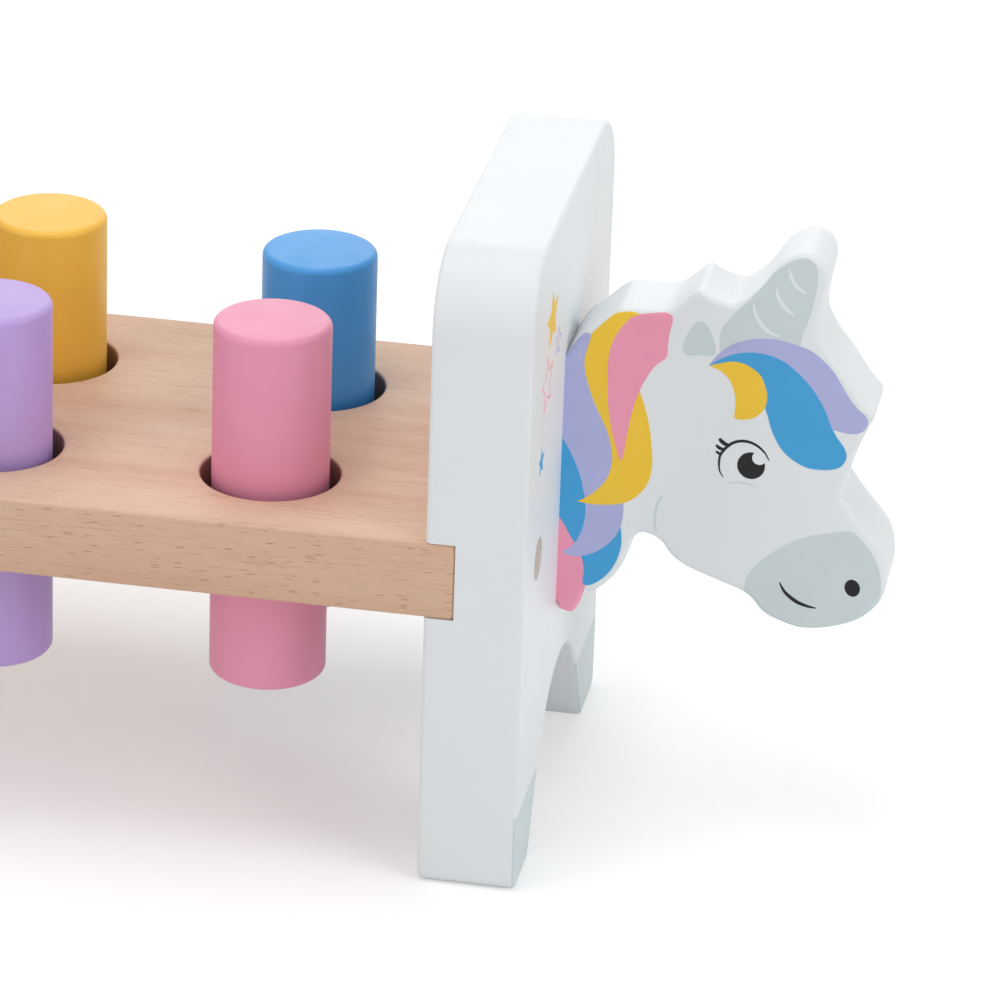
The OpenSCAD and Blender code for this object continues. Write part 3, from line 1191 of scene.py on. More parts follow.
@dataclass
class Plank:
    """The beech plank with its drilled and grooved holes.

    Attributes:
        layout: Where the holes are.
        dowels: The dowels that pin its ends.
        edge_radius: Rounding of its long edges and its ends.
        hole_radius: Radius of a hole.
        rim_radius: Rounding of a hole's rims.
        groove_radius: Radius of the groove for a grip ring.
        groove_width: Width of that groove.
        groove_slope: Slight lean of the groove's sides.
        wall_lean: Upward part of a normal, below which a face counts as upright.
        edge_steps: Stretches round an edge.
        rim_steps: Stretches round a rim.
        low: Lowest corner of the plank's box.
        high: Highest corner of it.
    """

    layout: Layout
    dowels: Dowels
    edge_radius: float = 0.8 * MM
    hole_radius: float = 13 * MM
    rim_radius: float = 0.8 * MM
    groove_radius: float = 14.25 * MM
    groove_width: float = 3.2 * MM
    groove_slope: float = 0.01 * MM
    wall_lean: float = 0.7
    edge_steps: int = 5
    rim_steps: int = 6
    low: Vector = field(default_factory=lambda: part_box("bench_plank")[0])
    high: Vector = field(default_factory=lambda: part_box("bench_plank")[1])

    def board(self) -> bpy.types.Mesh:
        """The plank before it is drilled.

        Returns:
            The mesh.
        """
        middle = (self.low + self.high) / 2
        size = self.high - self.low
        r, steps = self.edge_radius, self.edge_steps
        corners = ((1, 1, 0), (-1, 1, 90), (-1, -1, 180), (1, -1, 270))
        outline = [p for sy, sz, start in corners for p in
                   arc((sy * (size.y / 2 - r), sz * (size.z / 2 - r)), r, start, start + 90, steps)]
        plate = Plate(tuple(outline), size.x, r, lambda u, v, w: middle + Vector((w, u, v)),
                      edge_steps=steps)
        return plate.mesh("board")

    def hole_profile(self) -> list[Point]:
        """Section of a hole: rounded rims, a straight wall and the ring's groove.

        Returns:
            Radius and height of each ring, from below the plank to above it.
        """
        half = (self.high.z - self.low.z) / 2
        wide = self.hole_radius + self.rim_radius
        rim = arc((wide, half - self.rim_radius), self.rim_radius, 180, 90, self.rim_steps)
        groove = self.groove_width / 2
        upper = [(self.groove_radius, groove - self.groove_slope), (self.hole_radius, groove), *rim,
                 (wide, half + OVERRUN)]
        return [*((r, -z) for r, z in reversed(upper)), *upper]

    def mark(self, mesh: bpy.types.Mesh) -> None:
        """Note which faces are sawn sides and which lie in the drilled holes.

        Args:
            mesh: The finished plank.
        """
        middle, half = (self.low + self.high) / 2, (self.high - self.low) / 2
        sawn = mesh.attributes.new(Faces.SAWN.value, "FLOAT", "FACE")
        drilled = mesh.attributes.new(Faces.DRILLED.value, "FLOAT", "FACE")
        for face in mesh.polygons:
            off = face.center - middle
            rim = min(half.x - abs(off.x), half.y - abs(off.y)) < self.edge_radius
            upright = abs(face.normal.z) < self.wall_lean
            sawn.data[face.index].value = float(upright and rim)
            # Faces in the holes are later darkened in the finish, partly for end grain and partly as painted
            # shade
            drilled.data[face.index].value = float(upright and not rim)

    def build(self) -> None:
        """Model and dress the plank."""
        piece = make_piece("drilled_plank", self.board())
        cutters = turned_piece("hole_cutters", self.hole_profile(), **self.layout.grid())
        carve(piece, cutters, Cut.AWAY)
        for end in ("head_panel_dowels", "tail_panel_dowels"):
            carve(piece, self.dowels.bores(end), Cut.AWAY)
        shade(piece.data, Vector((0, 0, 1)))
        self.mark(piece.data)
        finish_piece(piece, BENCH, BEECH, ["bench_plank"])


@dataclass
class GripRings:
    """The rubber rings in the holes' grooves.

    Attributes:
        layout: Where the holes are.
        cord_radius: Radius of the cord that a ring is made of.
        segments: Stretches along a ring.
        cord_segments: Stretches round its cord.
    """

    layout: Layout
    cord_radius: float = 1.5 * MM
    segments: int = 72
    cord_segments: int = 18

    def build(self) -> None:
        """Model and dress the rings."""
        nodes = [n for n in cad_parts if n.startswith("grip_ring_")]
        low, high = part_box(nodes[0])
        piece = make_piece("rubber_grip_rings", bpy.data.meshes.new("rings"))
        Trees.grow(piece, Trees.ring(), {
            "Ring Radius": (high.x - low.x) / 2 - self.cord_radius, "Cord Radius": self.cord_radius,
            "Segments": self.segments, "Cord Segments": self.cord_segments,
            "Material": RUBBER.material(), **self.layout.grid()})
        shade(piece.data)
        finish_piece(piece, BENCH, RUBBER, nodes)


@dataclass
class Pegs:
    """The turned and painted pegs, each on its own body.

    Attributes:
        edge_radius: Rounding of both ends.
        edge_steps: Stretches round that edge.
        colours: Paints of each row, from the head's end.
    """

    edge_radius: float = 1.3 * MM
    edge_steps: int = 8
    colours: dict[Row, tuple[Coating, ...]] = field(default_factory=lambda: {
        Row.RIGHT: (PINK, PURPLE, BLUE, YELLOW), Row.LEFT: (BLUE, YELLOW, PINK, PURPLE)})

    def profile(self, radius: float, length: float) -> list[Point]:
        """Section of a peg with rounded ends.

        Args:
            radius: Radius of the peg.
            length: Its length.

        Returns:
            Radius and height of each ring, from foot to top.
        """
        e = self.edge_radius
        foot = arc((radius - e, e), e, -90, 0, self.edge_steps)
        top = arc((radius - e, length - e), e, 0, 90, self.edge_steps)
        return [*foot, *top]

    def build(self) -> None:
        """Model and dress every peg."""
        for row, paints in self.colours.items():
            for number, paint in enumerate(paints, 1):
                node = f"peg_{row.value}_{number}"
                low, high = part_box(node)
                centre = (low + high) / 2
                profile = self.profile((high.x - low.x) / 2, high.z - low.z)
                piece = turned_piece(f"painted_{node}", profile, centre=(centre.x, centre.y, low.z),
                                     material=paint.material())
                finish_piece(piece, node, paint, [node])


@dataclass
class EndPanel:
    """A white end panel with an arch between its legs and printed hooves.

    Attributes:
        end: Which end of the bench it closes.
        dowels: The dowels that pin the plank to it.
        corner_radius: Rounding of its upper corners.
        foot_radius: Rounding of the feet's outer corners.
        edge_radius: Rounding of its edges.
        leg_width: Width of a leg at the floor.
        arch_height: Height of the arch.
        arch_lean: Lean of the arch's straight sides from upright, in degrees.
        housing_depth: Depth of the housing for the plank.
        housing_room: Room round the plank in it.
        hoof_height: Height of the printed hooves.
        film: Thickness of that print.
        film_root: How deep the print's film reaches into the panel.
        foot_steps: Stretches round a foot's corner.
        corner_steps: Stretches round an upper corner.
        arch_steps: Stretches round the arch's top.
    """

    end: End
    dowels: Dowels
    corner_radius: float = 14 * MM
    foot_radius: float = 2.5 * MM
    edge_radius: float = 1 * MM
    leg_width: float = 15 * MM
    arch_height: float = 27.5 * MM
    arch_lean: float = 30.0
    housing_depth: float = 5.5 * MM
    housing_room: float = 0.06 * MM
    hoof_height: float = 15.2 * MM
    film: float = 0.03 * MM
    film_root: float = 0.5 * MM
    foot_steps: int = 8
    corner_steps: int = 24
    arch_steps: int = 48

    @property
    def name(self) -> str:
        """Which panel this is."""
        return f"{self.end.name.lower()}_end_panel"

    def outline(self) -> list[Point]:
        """Outline across the bench and up, counter-clockwise from a foot.

        Returns:
            The points, in metres.
        """
        low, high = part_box(self.name)
        half, height = (high.y - low.y) / 2, high.z - low.z
        foot, top = self.foot_radius, self.corner_radius
        half_arch = half - self.leg_width
        rise, run = math.sin(math.radians(self.arch_lean)), math.cos(math.radians(self.arch_lean))
        arch_radius = (half_arch * run - self.arch_height * rise) / (1 - rise)
        arch_middle = (0.0, self.arch_height - arch_radius)
        return [*arc((-half + foot, foot), foot, 180, 270, self.foot_steps), (-half_arch, 0.0),
                *arc(arch_middle, arch_radius, 180 - self.arch_lean, self.arch_lean, self.arch_steps),
                (half_arch, 0.0), *arc((half - foot, foot), foot, 270, 360, self.foot_steps),
                *arc((half - top, height - top), top, 0, 90, self.corner_steps),
                *arc((-half + top, height - top), top, 90, 180, self.corner_steps)]

    def plate(self) -> Plate:
        """The panel before its housing and bores are cut.

        Returns:
            The board.
        """
        low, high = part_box(self.name)
        middle = (low.x + high.x) / 2
        return Plate(tuple(self.outline()), high.x - low.x, self.edge_radius,
                     lambda u, v, w: Vector((middle + w, u, v)))

    def slab(self, name: str, low: Vector, high: Vector) -> bpy.types.Object:
        """A square cutting body between two corners.

        Args:
            name: Name of the body.
            low: Its lowest corner.
            high: Its highest corner.

        Returns:
            The body.
        """
        rings = [[Vector((x, y, z)) for y, z in ((low.y, low.z), (high.y, low.z), (high.y, high.z),
                                                 (low.y, high.z))] for x in (low.x, high.x)]
        return make_piece(name, closed_mesh(name, rings))

    def build(self) -> None:
        """Model and dress the panel and its hooves."""
        low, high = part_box(self.name)
        out = self.end.value
        inner, outer = (low.x, high.x) if self.end is End.HEAD else (high.x, low.x)
        plank_low, plank_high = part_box("bench_plank")
        piece = make_piece(f"lacquered_{self.name}", self.plate().mesh(self.name))
        room = self.housing_room
        spans = sorted((inner - out * OVERRUN, inner + out * (self.housing_depth + room)))
        housing = self.slab("housing", Vector((spans[0], low.y - OVERRUN, plank_low.z - room)),
                            Vector((spans[1], high.y + OVERRUN, plank_high.z + room)))
        carve(piece, housing, Cut.AWAY)
        carve(piece, self.dowels.bores(f"{self.end.name.lower()}_panel_dowels"), Cut.AWAY)
        shade(piece.data, Vector((1, 0, 0)))
        finish_piece(piece, BENCH, WHITE, [self.name])
        hoof = make_piece(f"{self.end.name.lower()}_hoof_print", self.plate().grown(self.film).mesh("hoof"))
        spans = sorted((outer - out * self.film_root, outer + out * OVERRUN))
        carve(hoof, self.slab("hoof_area", Vector((spans[0], low.y - OVERRUN, -OVERRUN)),
                              Vector((spans[1], high.y + OVERRUN, self.hoof_height))), Cut.SHARED)
        shade(hoof.data, Vector((1, 0, 0)))
        finish_piece(hoof, BENCH, GREY_INK)


@dataclass(frozen=True)
class Star:
    """One printed star.

    Attributes:
        name: Name of its colour.
        finish: Its ink.
        middle: Its place across the panel and up, in millimetres.
        radius: Its outer radius, in millimetres.
        hollow: Size of its blank middle as a share of the star, or zero if it is solid.
        lean: Its lean in degrees.
    """

    name: str
    finish: Coating
    middle: Point
    radius: float
    hollow: float
    lean: float


@dataclass
class StarPrint:
    """The printed stars on the head's panel, beside the animal's right cheek.

    Attributes:
        sunk: How deep the print's film reaches into the panel.
        film: How far it stands proud.
        inner_share: Radius of a star's inner corners as a share of its tips' radius.
        stars: The stars.
    """

    sunk: float = 0.2 * MM
    film: float = 0.03 * MM
    inner_share: float = 0.45
    stars: tuple[Star, ...] = (
        Star("yellow", YELLOW_INK, (-24.5, 107.1), 6.2, 0.0, 8.0),
        Star("lilac", LILAC_INK, (-17.0, 99.7), 3.3, 0.74, -12.0),
        Star("pink", PINK_INK, (-28.0, 95.6), 6.2, 0.84, 6.0),
        Star("blue", BLUE_INK, (-31.5, 81.6), 3.0, 0.0, 0.0))

    def build(self) -> None:
        """Model and dress the stars."""
        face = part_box("head_end_panel")[1].x
        for star in self.stars:
            piece = make_piece(f"{star.name}_star", bpy.data.meshes.new(star.name))
            Trees.grow(piece, Trees.star(), {
                "Outer Radius": star.radius * MM, "Inner Radius": self.inner_share * star.radius * MM,
                "Hollow Share": star.hollow, "Lean": math.radians(90 + star.lean),
                "Film": self.sunk + self.film, "Turn": (math.pi / 2, 0, math.pi / 2),
                "Material": star.finish.material(),
                "Centre": (face - self.sunk, star.middle[0] * MM, star.middle[1] * MM)})
            shade(piece.data, Vector((1, 0, 0)))
            finish_piece(piece, BENCH, star.finish)


@dataclass(frozen=True)
class InkArea:
    """A printed area, drawn as smooth strokes that meet at corners.

    Attributes:
        finish: Its ink.
        layer: How many inks lie under it.
        strokes: Points of each stroke, in millimetres from the panel and above the head's foot.
        steps: Stretches between two points.
    """

    finish: Coating
    layer: int
    strokes: tuple[tuple[Point, ...], ...]
    steps: int = 6

    def outline(self) -> list[Point]:
        """The closed outline, in metres."""
        points = [p for stroke in self.strokes for p in smooth(stroke, self.steps)[:-1]]
        return [(x * MM, z * MM) for x, z in points]


@dataclass(frozen=True)
class InkLine:
    """A printed brush line that swells in its middle.

    Attributes:
        finish: Its ink.
        layer: How many inks lie under it.
        points: Points along it, as in an ink area.
        width: Its width in the middle, in millimetres.
        tip: Its width at both ends, in millimetres.
        steps: Stretches between two points.
    """

    finish: Coating
    layer: int
    points: tuple[Point, ...]
    width: float
    tip: float = 0.12
    steps: int = 8

    def outline(self) -> list[Point]:
        """The closed outline, in metres."""
        line = tapered_line(self.points, self.width, self.tip, self.steps)
        return [(x * MM, z * MM) for x, z in line]


@dataclass(frozen=True)
class InkDot:
    """A printed oval.

    Attributes:
        finish: Its ink.
        layer: How many inks lie under it.
        middle: Its middle, as in an ink area.
        half: Half its width and height, in millimetres.
        lean: Its lean in degrees.
        steps: Stretches once round it.
    """

    finish: Coating
    layer: int
    middle: Point
    half: Point
    lean: float = 0.0
    steps: int = 48

    def outline(self) -> list[Point]:
        """The closed outline.

        Returns:
            Its points, in metres.
        """
        turn = math.radians(self.lean)
        points = []
        for x, z in arc((0.0, 0.0), 1.0, 0, 360, self.steps)[:-1]:
            u, v = x * self.half[0], z * self.half[1]
            points.append(((self.middle[0] + u * math.cos(turn) - v * math.sin(turn)) * MM,
                           (self.middle[1] + u * math.sin(turn) + v * math.cos(turn)) * MM))
        return points


MANE = (
    InkArea(PINK_INK, 0, (
        ((0, 19.5), (3.2, 15.5), (5.4, 11.0), (5.6, 8.0), (5.4, 5.2), (5.1, 3.9), (4.7, 2.2),
         (4.4, -1.5), (0, -1.8)),
        ((0, -1.8), (0, 19.5)))),
    InkArea(BLUE_INK, 1, (
        ((0, 36), (3.5, 30), (5.6, 24.7), (6.0, 19.8), (5.2, 16.5), (3.1, 14.2)),
        ((3.1, 14.2), (2.0, 15.9), (1.1, 17.6), (0, 19.3)),
        ((0, 19.3), (0, 36)))),
    InkArea(BLUE_INK, 1, (
        ((11.6, 19.2), (12.0, 15.7), (11.7, 13.0), (10.7, 10.2), (9.0, 7.7), (7.0, 6.1), (5.7, 5.6)),
        ((5.7, 5.6), (5.1, 5.8), (4.9, 6.4), (5.0, 7.7), (5.0, 9.5), (4.4, 12.0)),
        ((4.4, 12.0), (11.6, 19.2)))),
    InkArea(LILAC_INK, 3, (
        ((0, 35.4), (0.5, 34.7), (1.8, 32.4), (3.0, 29.8), (3.9, 27.3), (4.5, 24.5)),
        ((4.5, 24.5), (9.5, 27.5), (10.5, 34), (8.0, 42), (5.5, 50), (4.9, 56.4)),
        ((4.9, 56.4), (4.2, 56.9), (2.8, 56.3), (1.5, 55), (0.3, 53), (0, 51)),
        ((0, 51), (0, 35.4)))),
    InkArea(LILAC_INK, 2, (
        ((4.0, 27.0), (4.6, 24.6), (4.9, 22.0), (4.9, 19.8), (4.4, 16.9), (3.3, 14.4), (2.1, 13.0),
         (0.8, 12.1)),
        ((0.8, 12.1), (1.6, 11.6), (3.0, 11.4), (4.5, 11.6), (7.1, 12.7), (9.1, 14.3), (10.7, 16.2),
         (11.7, 18.4)),
        ((11.7, 18.4), (12.0, 20), (12.1, 22.0), (12.0, 25)),
        ((12.0, 25), (11.0, 27.0), (4.0, 27.0)))),
    InkArea(YELLOW_INK, 4, (
        ((4.8, 57.0), (4.1, 54.1), (3.6, 51.4), (4.1, 48.0), (5.5, 43.8), (7.3, 40.0), (8.6, 37.1),
         (9.4, 33.6), (9.5, 31.0), (8.7, 28.0), (7.0, 25.6), (5.0, 23.8), (3.3, 22.8)),
        ((3.3, 22.8), (5.5, 22.5), (8.4, 22.6), (11.6, 23.2), (13.8, 24.4), (15.6, 26.4), (16.7, 28.7),
         (17.1, 31.8), (16.9, 34.9), (16.3, 39.2), (15.3, 43.1), (14.1, 46.4)),
        ((14.1, 46.4), (11, 54), (13.6, 61.7)),
        ((13.6, 61.7), (12.1, 62.0), (10.0, 61.7), (8.5, 60.9), (6.5, 58.9), (4.8, 57.0)))),
    InkArea(PINK_INK, 5, (
        ((13.6, 61.7), (11.7, 60.6), (9.8, 58.0), (8.5, 55.0), (8.0, 51.5), (8.1, 47.1), (8.4, 42.8),
         (9.1, 38.5), (9.9, 35.5), (10.9, 32.4)),
        ((10.9, 32.4), (11.2, 32.1), (11.5, 32.4)),
        ((11.5, 32.4), (11.8, 34.3), (12.2, 37.9), (12.9, 42.0), (14.1, 46.4), (15.6, 49.7), (16.9, 51.8),
         (18.7, 53.4)),
        ((18.7, 53.4), (19.0, 54.2), (19.0, 55.7), (19.2, 58.3), (19.7, 61.0)),
        ((19.7, 61.0), (19.5, 62.0), (18.5, 62.5)),
        ((18.5, 62.5), (15.7, 62.1), (13.6, 61.7)))),
)

FORELOCK = (
    InkArea(LILAC_INK, 2, (
        ((26.8, 53.0), (28.6, 55.5), (30.9, 57.5), (33.8, 58.7), (36.7, 59.3), (39.6, 59.3), (42.5, 58.7),
         (45.5, 57.8), (48.0, 56.0), (50.0, 53.9), (51.6, 51.5), (53.2, 49.0), (54.8, 47.1), (56.4, 45.8),
         (56.8, 44.4), (56.3, 43.0), (54.6, 42.1), (52.7, 42.1), (50.2, 42.5)),
        ((50.2, 42.5), (46, 47), (40, 53), (34, 54.5), (26.8, 53.0)))),
    InkArea(BLUE_INK, 3, (
        ((26.8, 53.0), (29.1, 54.5), (31.5, 55.7), (34.4, 56.3), (37.8, 56.1), (40.8, 55.0), (43.3, 53.2),
         (45.9, 50.6), (48.0, 47.6), (49.0, 45.7), (49.9, 43.4), (51.2, 41.1), (52.8, 38.9), (53.2, 37.1),
         (52.5, 35.5), (51.1, 34.6), (48.7, 34.2), (45.8, 34.4), (42.7, 36.0), (40.7, 38.1), (39.1, 41.1),
         (38.2, 43.9), (37.6, 45.5)),
        ((37.6, 45.5), (36, 49), (33, 52.5), (26.8, 53.0)))),
    InkArea(YELLOW_INK, 4, (
        ((26.8, 52.9), (28.7, 53.5), (30.8, 54.1), (33.0, 54.0), (35.0, 53.1), (36.6, 51.7), (37.6, 49.4),
         (37.9, 47.6), (37.6, 45.5), (36.2, 43.7), (34.6, 42.9), (32.9, 42.7)),
        ((32.9, 42.7), (32.1, 42.9), (32.0, 43.6), (32.1, 45.4), (31.9, 47.5), (31.0, 50.0), (29.5, 51.7),
         (27.7, 52.6), (26.8, 52.9)))),
)

FACE = (
    InkArea(GREY_INK, 0, (
        ((22.6, 54.4), (24.9, 54.7), (27.2, 54.8)),
        ((27.2, 54.8), (27.9, 55.5), (27.8, 57.0), (27.0, 59.2), (25.9, 61.0), (24.6, 61.4), (23.3, 60.2),
         (22.2, 57.8), (21.7, 55.6), (22.6, 54.4)))),
    InkArea(GREY_INK, 0, (
        ((28.8, 54), (28.6, 57), (28.5, 59.3)),
        ((28.5, 59.3), (29.0, 60.8), (30.2, 62.5), (32.0, 64.9), (33.8, 66.8), (35.2, 68.7), (37.0, 71.3),
         (39.4, 73.8), (41.5, 75.3), (43.4, 75.9), (44.9, 75.3), (45.8, 73.9), (46.0, 70.9), (45.5, 67.2),
         (44.7, 63.5), (43.8, 60.8), (43.4, 58)),
        ((43.4, 58), (36, 55), (28.8, 54)))),
    InkLine(PALE_INK, 1, ((34.4, 66.1), (35.0, 63.8), (36.5, 61.6), (38.0, 60.5), (39.8, 60.0)), 0.75),
    InkLine(PALE_INK, 1, ((38.4, 69.6), (39.1, 67.3), (40.4, 65.7), (42.1, 64.4)), 0.75),
    InkLine(PALE_INK, 1, ((40.6, 73.7), (41.3, 71.5), (42.4, 70.0), (44.1, 68.9)), 0.7),
    InkArea(GREY_INK, 0, (
        ((35.6, 9.7), (36.2, 11.6), (38.0, 14.0), (40.8, 16.7), (44.1, 19.0), (47.5, 20.6), (51.4, 21.7),
         (54.8, 22.3), (56.8, 21.0), (58.9, 18.5), (60.4, 15.5), (61.1, 12.6), (61.0, 9), (59.5, 5),
         (55, 1), (47, -1), (39, 1), (35.8, 6), (35.6, 9.7)),)),
    InkLine(GREY_INK, 0, ((19.2, 25.5), (18.5, 24.0), (18.1, 21.7), (18.1, 20.0), (18.5, 18.3)), 0.5, 0.4),
    InkLine(BLACK_INK, 0, ((30.5, 30.7), (29.8, 31.9), (29.6, 33.3), (29.7, 34.9), (30.3, 36.1),
                           (31.2, 37.2), (32.3, 38.0), (33.7, 38.4), (35.2, 38.3), (36.6, 37.7),
                           (37.7, 36.8), (38.4, 35.9), (38.9, 35.0)), 0.58, 0.14),
    InkLine(BLACK_INK, 1, ((31.6, 37.3), (30.7, 37.4), (30.2, 37.7), (29.7, 38.1), (29.5, 38.5)), 0.8, 0.45),
    InkLine(BLACK_INK, 1, ((30.6, 36.4), (29.9, 36.4), (29.3, 36.7), (28.9, 37.1)), 0.65, 0.38),
    InkLine(BLACK_INK, 1, ((30.0, 35.3), (29.4, 35.5), (28.9, 35.8)), 0.52, 0.32),
    InkDot(BLACK_INK, 0, (35.6, 33.6), (2.6, 2.7)),
    InkDot(PALE_INK, 1, (37.05, 35.3), (1.33, 1.36)),
    InkLine(GREY_INK, 0, ((31.4, 29.5), (33.0, 29.9), (34.7, 29.9), (37.1, 29.3)), 0.35),
    InkLine(BLACK_INK, 1, ((42.1, 10.5), (43.2, 8.6), (45.2, 7.0), (47.3, 6.2), (49.3, 5.9)), 0.75),
    InkDot(BLACK_INK, 1, (55.8, 10.8), (1.45, 1.75), 12.0),
)


@dataclass
class Head:
    """The fretsawn head plate and what is printed on both its sides.

    Attributes:
        edge_radius: Rounding of its edges.
        film: Thickness of the lowest ink.
        film_step: How much higher each further ink lies.
        wrap: How far the print reaches round the edges.
        print_lift: How much higher than it is drawn the print sits.
        curve_steps: Stretches between two corners of the outline.
        node: The head's node.
        low: Lowest corner of the head's box.
        high: Highest corner of it.
    """

    edge_radius: float = 1.2 * MM
    film: float = 0.02 * MM
    film_step: float = 0.012 * MM
    wrap: float = 0.9 * MM
    print_lift: float = 0.4 * MM
    curve_steps: int = 3
    node: str = "unicorn_head"
    low: Vector = field(default_factory=lambda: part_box("unicorn_head")[0])
    high: Vector = field(default_factory=lambda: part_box("unicorn_head")[1])

    def outline(self) -> list[Point]:
        """Outline from the mane's lowest lock round to its top, read from the frame.

        Returns:
            Points from the panel and the head's foot, in metres.
        """
        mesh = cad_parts[self.node].data
        level = self.low.y + self.edge_radius

        def spot(index: int) -> tuple[int, ...]:
            """A corner's place in whole microns."""
            return tuple(round(c / MICRON) for c in mesh.vertices[index].co)

        rim = {spot(v.index) for v in mesh.vertices if abs(v.co.y - level) < 10 * MICRON}
        beside: dict[tuple[int, ...], set[tuple[int, ...]]] = {p: set() for p in rim}
        foot = min(p[0] for p in rim)
        for edge in mesh.edges:
            a, b = (spot(i) for i in edge.vertices)
            if a in rim and b in rim and a != b and max(a[0], b[0]) > foot:
                beside[a].add(b)
                beside[b].add(a)
        here = min((p for p in rim if p[0] == foot), key=lambda p: p[2])
        route, seen = [here], {here}
        while ahead := [p for p in beside[here] if p not in seen]:
            here = ahead[0]
            seen.add(here)
            route.append(here)
        knots = [(x * MICRON - self.low.x, z * MICRON - self.low.z) for x, _, z in route]
        return smooth(knots, self.curve_steps)

    def plate(self) -> Plate:
        """The head's board."""
        return Plate(tuple(self.outline()), self.high.y - self.low.y, self.edge_radius,
                     lambda u, v, w: Vector((self.low.x + u, w, self.low.z + v)), True)

    def film_blocks(self, outline: Sequence[Point]) -> bpy.types.Object:
        """Blocks of an outline that reach into both faces of the head.

        Args:
            outline: The printed area.

        Returns:
            A cutting body for its film.
        """
        half = (self.high.y - self.low.y) / 2
        foot = self.low.z + self.print_lift
        meshes = []
        for side in (-1, 1):
            rings = [[Vector((self.low.x + u, side * depth, foot + v)) for u, v in outline]
                     for depth in (half - self.wrap, half + OVERRUN)]
            meshes.append(closed_mesh("block", rings))
        return make_piece("film_blocks", join_meshes("film_blocks", meshes))

    def build(self) -> None:
        """Model and dress the plate and its print."""
        plate = self.plate()
        piece = make_piece("fretsawn_head", plate.mesh("head"))
        shade(piece.data, Vector((0, 1, 0)))
        finish_piece(piece, BENCH, WHITE, [self.node])
        films: dict[Coating, list[bpy.types.Mesh]] = {}
        for mark in (*MANE, *FORELOCK, *FACE):
            raised = plate.grown(self.film + mark.layer * self.film_step)
            film = make_piece("film", raised.mesh("film"))
            carve(film, self.film_blocks(mark.outline()), Cut.SHARED)
            films.setdefault(mark.finish, []).append(film.data.copy())
            drop(film)
        for finish, meshes in films.items():
            printed = make_piece(f"head_print_{finish.name}", join_meshes(finish.name, meshes))
            shade(printed.data, Vector((0, 1, 0)))
            finish_piece(printed, BENCH, finish)


@dataclass(frozen=True)
class Lamp:
    """A soft square lamp that faces the bench.

    Attributes:
        name: Its name.
        place: Where it hangs.
        size: Length of its side.
        power: Its power in watts.
    """

    name: str
    place: tuple[float, float, float]
    size: float
    power: float

    def hang(self) -> None:
        """Add the lamp to the scene."""
        data = bpy.data.lights.new(self.name, "AREA")
        data.size = self.size
        data.energy = self.power
        lamp = bpy.data.objects.new(self.name, data)
        lamp.location = self.place
        lamp.rotation_euler = (-Vector(self.place)).to_track_quat("-Z", "Y").to_euler()
        bpy.context.scene.collection.objects.link(lamp)


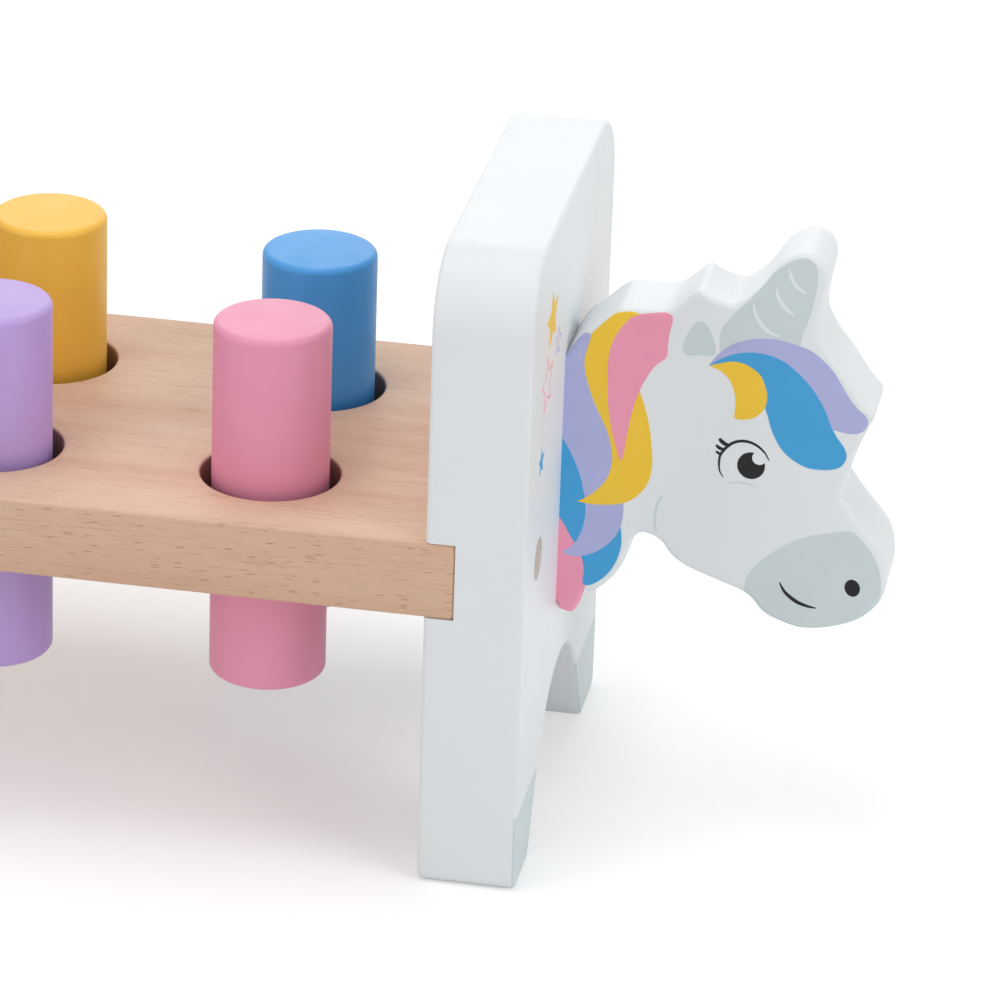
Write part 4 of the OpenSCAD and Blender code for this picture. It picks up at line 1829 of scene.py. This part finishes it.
@dataclass
class Studio:
    """White floor, soft light and the camera.

    Attributes:
        yaw: Turn of the camera about the upright, in degrees.
        pitch: How far it looks down, in degrees.
        roll: Its lean, in degrees.
        eye: Where it stands.
        lens: Its focal length, in millimetres.
        sensor: Width of its sensor, in millimetres.
        clip: Nearest and farthest distance that it sees.
        floor_half: Half the floor's width.
        floor_colour: Colour of the floor.
        floor_rough: Its roughness.
        floor_lift: Light that the floor adds near the bench.
        far_lift: Light that it adds farther off.
        far: Where that light starts to rise and where it stops.
        fill: Strength of the surround's light.
        lamps: The lamps.
    """

    yaw: float = 9.404
    pitch: float = 24.468
    roll: float = 2.005
    eye: Vector = field(default_factory=lambda: Vector((251.07, -982.27, 511.74)) * MM)
    lens: float = 208.39
    sensor: float = 36.0
    clip: Point = (0.05, 50.0)
    floor_half: float = 12.0
    floor_colour: Colour = (0.9, 0.9, 0.9, 1.0)
    floor_rough: float = 0.9
    floor_lift: float = 0.24
    far_lift: float = 0.8
    far: Point = (0.3, 1.2)
    fill: float = 0.42
    lamps: tuple[Lamp, ...] = (
        Lamp("overhead", (-0.1, -0.05, 1.3), 0.8, 5.35),
        Lamp("side", (1.2, -0.6, 0.8), 0.8, 5.8),
        Lamp("front", (-1.1, -0.9, 0.6), 0.8, 3.5),
        Lamp("back", (-0.2, 1.4, 0.8), 1.2, 5.0))

    def camera(self) -> None:
        """Set the camera at the photograph's view."""
        yaw, pitch, roll = (math.radians(a) for a in (self.yaw, self.pitch, self.roll))
        back = Vector((math.sin(yaw) * math.cos(pitch), -math.cos(yaw) * math.cos(pitch), math.sin(pitch)))
        right = Vector((math.cos(yaw), math.sin(yaw), 0))
        up = back.cross(right)
        turned_right = right * math.cos(roll) + up * math.sin(roll)
        turned_up = up * math.cos(roll) - right * math.sin(roll)
        data = bpy.data.cameras.new("camera")
        data.lens = self.lens
        data.sensor_width = self.sensor
        data.clip_start, data.clip_end = self.clip
        camera = bpy.data.objects.new("camera", data)
        axes = Matrix((turned_right, turned_up, back)).transposed().to_4x4()
        camera.matrix_world = Matrix.Translation(self.eye) @ axes
        bpy.context.scene.collection.objects.link(camera)
        bpy.context.scene.camera = camera

    @staticmethod
    def seen_white(graph: Graph) -> bpy.types.NodeSocket:
        """One on rays that show the backdrop: from the camera, in gloss or through glass.

        Args:
            graph: Graph of the material or the world.

        Returns:
            The socket of the value.
        """
        path = graph.add("ShaderNodeLightPath").outputs
        first = graph.math("MAXIMUM", path["Is Camera Ray"], path["Is Glossy Ray"])
        return graph.math("MAXIMUM", first, path["Is Transmission Ray"])

    def floor(self) -> None:
        """Lay the pale floor, which keeps the bench's shadow."""
        h = self.floor_half
        mesh = bpy.data.meshes.new("floor")
        mesh.from_pydata([(-h, -h, 0), (h, -h, 0), (h, h, 0), (-h, h, 0)], [], [(0, 1, 2, 3)])
        floor = make_piece("floor", mesh)
        material = bpy.data.materials.new("pale_floor")
        material.use_nodes = True
        graph = Graph(material.node_tree)
        place = graph.add("ShaderNodeTexCoord").outputs["Object"]
        reach = graph.add("ShaderNodeVectorMath", {0: place}, operation="LENGTH").outputs["Value"]
        level = graph.ramp(reach, *self.far, self.floor_lift, self.far_lift)
        lift = graph.math("MULTIPLY", self.seen_white(graph), level)
        shader = graph.add("ShaderNodeBsdfPrincipled", {
            "Base Color": self.floor_colour, "Roughness": self.floor_rough, "Specular IOR Level": 0.0,
            "Emission Color": (1.0, 1.0, 1.0, 1.0), "Emission Strength": lift})
        output = graph.add("ShaderNodeOutputMaterial")
        graph.tree.links.new(shader.outputs[0], output.inputs[0])
        mesh.materials.append(material)

    def world(self) -> None:
        """Light the scene evenly from a white surround."""
        world = bpy.data.worlds.new("surround")
        world.use_nodes = True
        graph = Graph(world.node_tree)
        strength = graph.ramp(self.seen_white(graph), 0.0, 1.0, self.fill, 1.0)
        light = graph.add("ShaderNodeBackground", {"Color": (1.0, 1.0, 1.0, 1.0), "Strength": strength})
        output = graph.add("ShaderNodeOutputWorld")
        graph.tree.links.new(light.outputs[0], output.inputs[0])
        bpy.context.scene.world = world

    def build(self) -> None:
        """Set the whole studio up."""
        self.camera()
        self.floor()
        self.world()
        for lamp in self.lamps:
            lamp.hang()
        bpy.context.scene.view_settings.view_transform = "Standard"


def main() -> None:
    """Build the bench piece by piece."""
    logging.basicConfig(level=logging.INFO, format="%(message)s")
    layout = Layout.from_frame()
    dowels = Dowels()
    Studio().build()
    Plank(layout, dowels).build()
    for end in End:
        EndPanel(end, dowels).build()
    dowels.build()
    GripRings(layout).build()
    Pegs().build()
    Head().build()
    StarPrint().build()


if __name__ == "__main__":
    main()
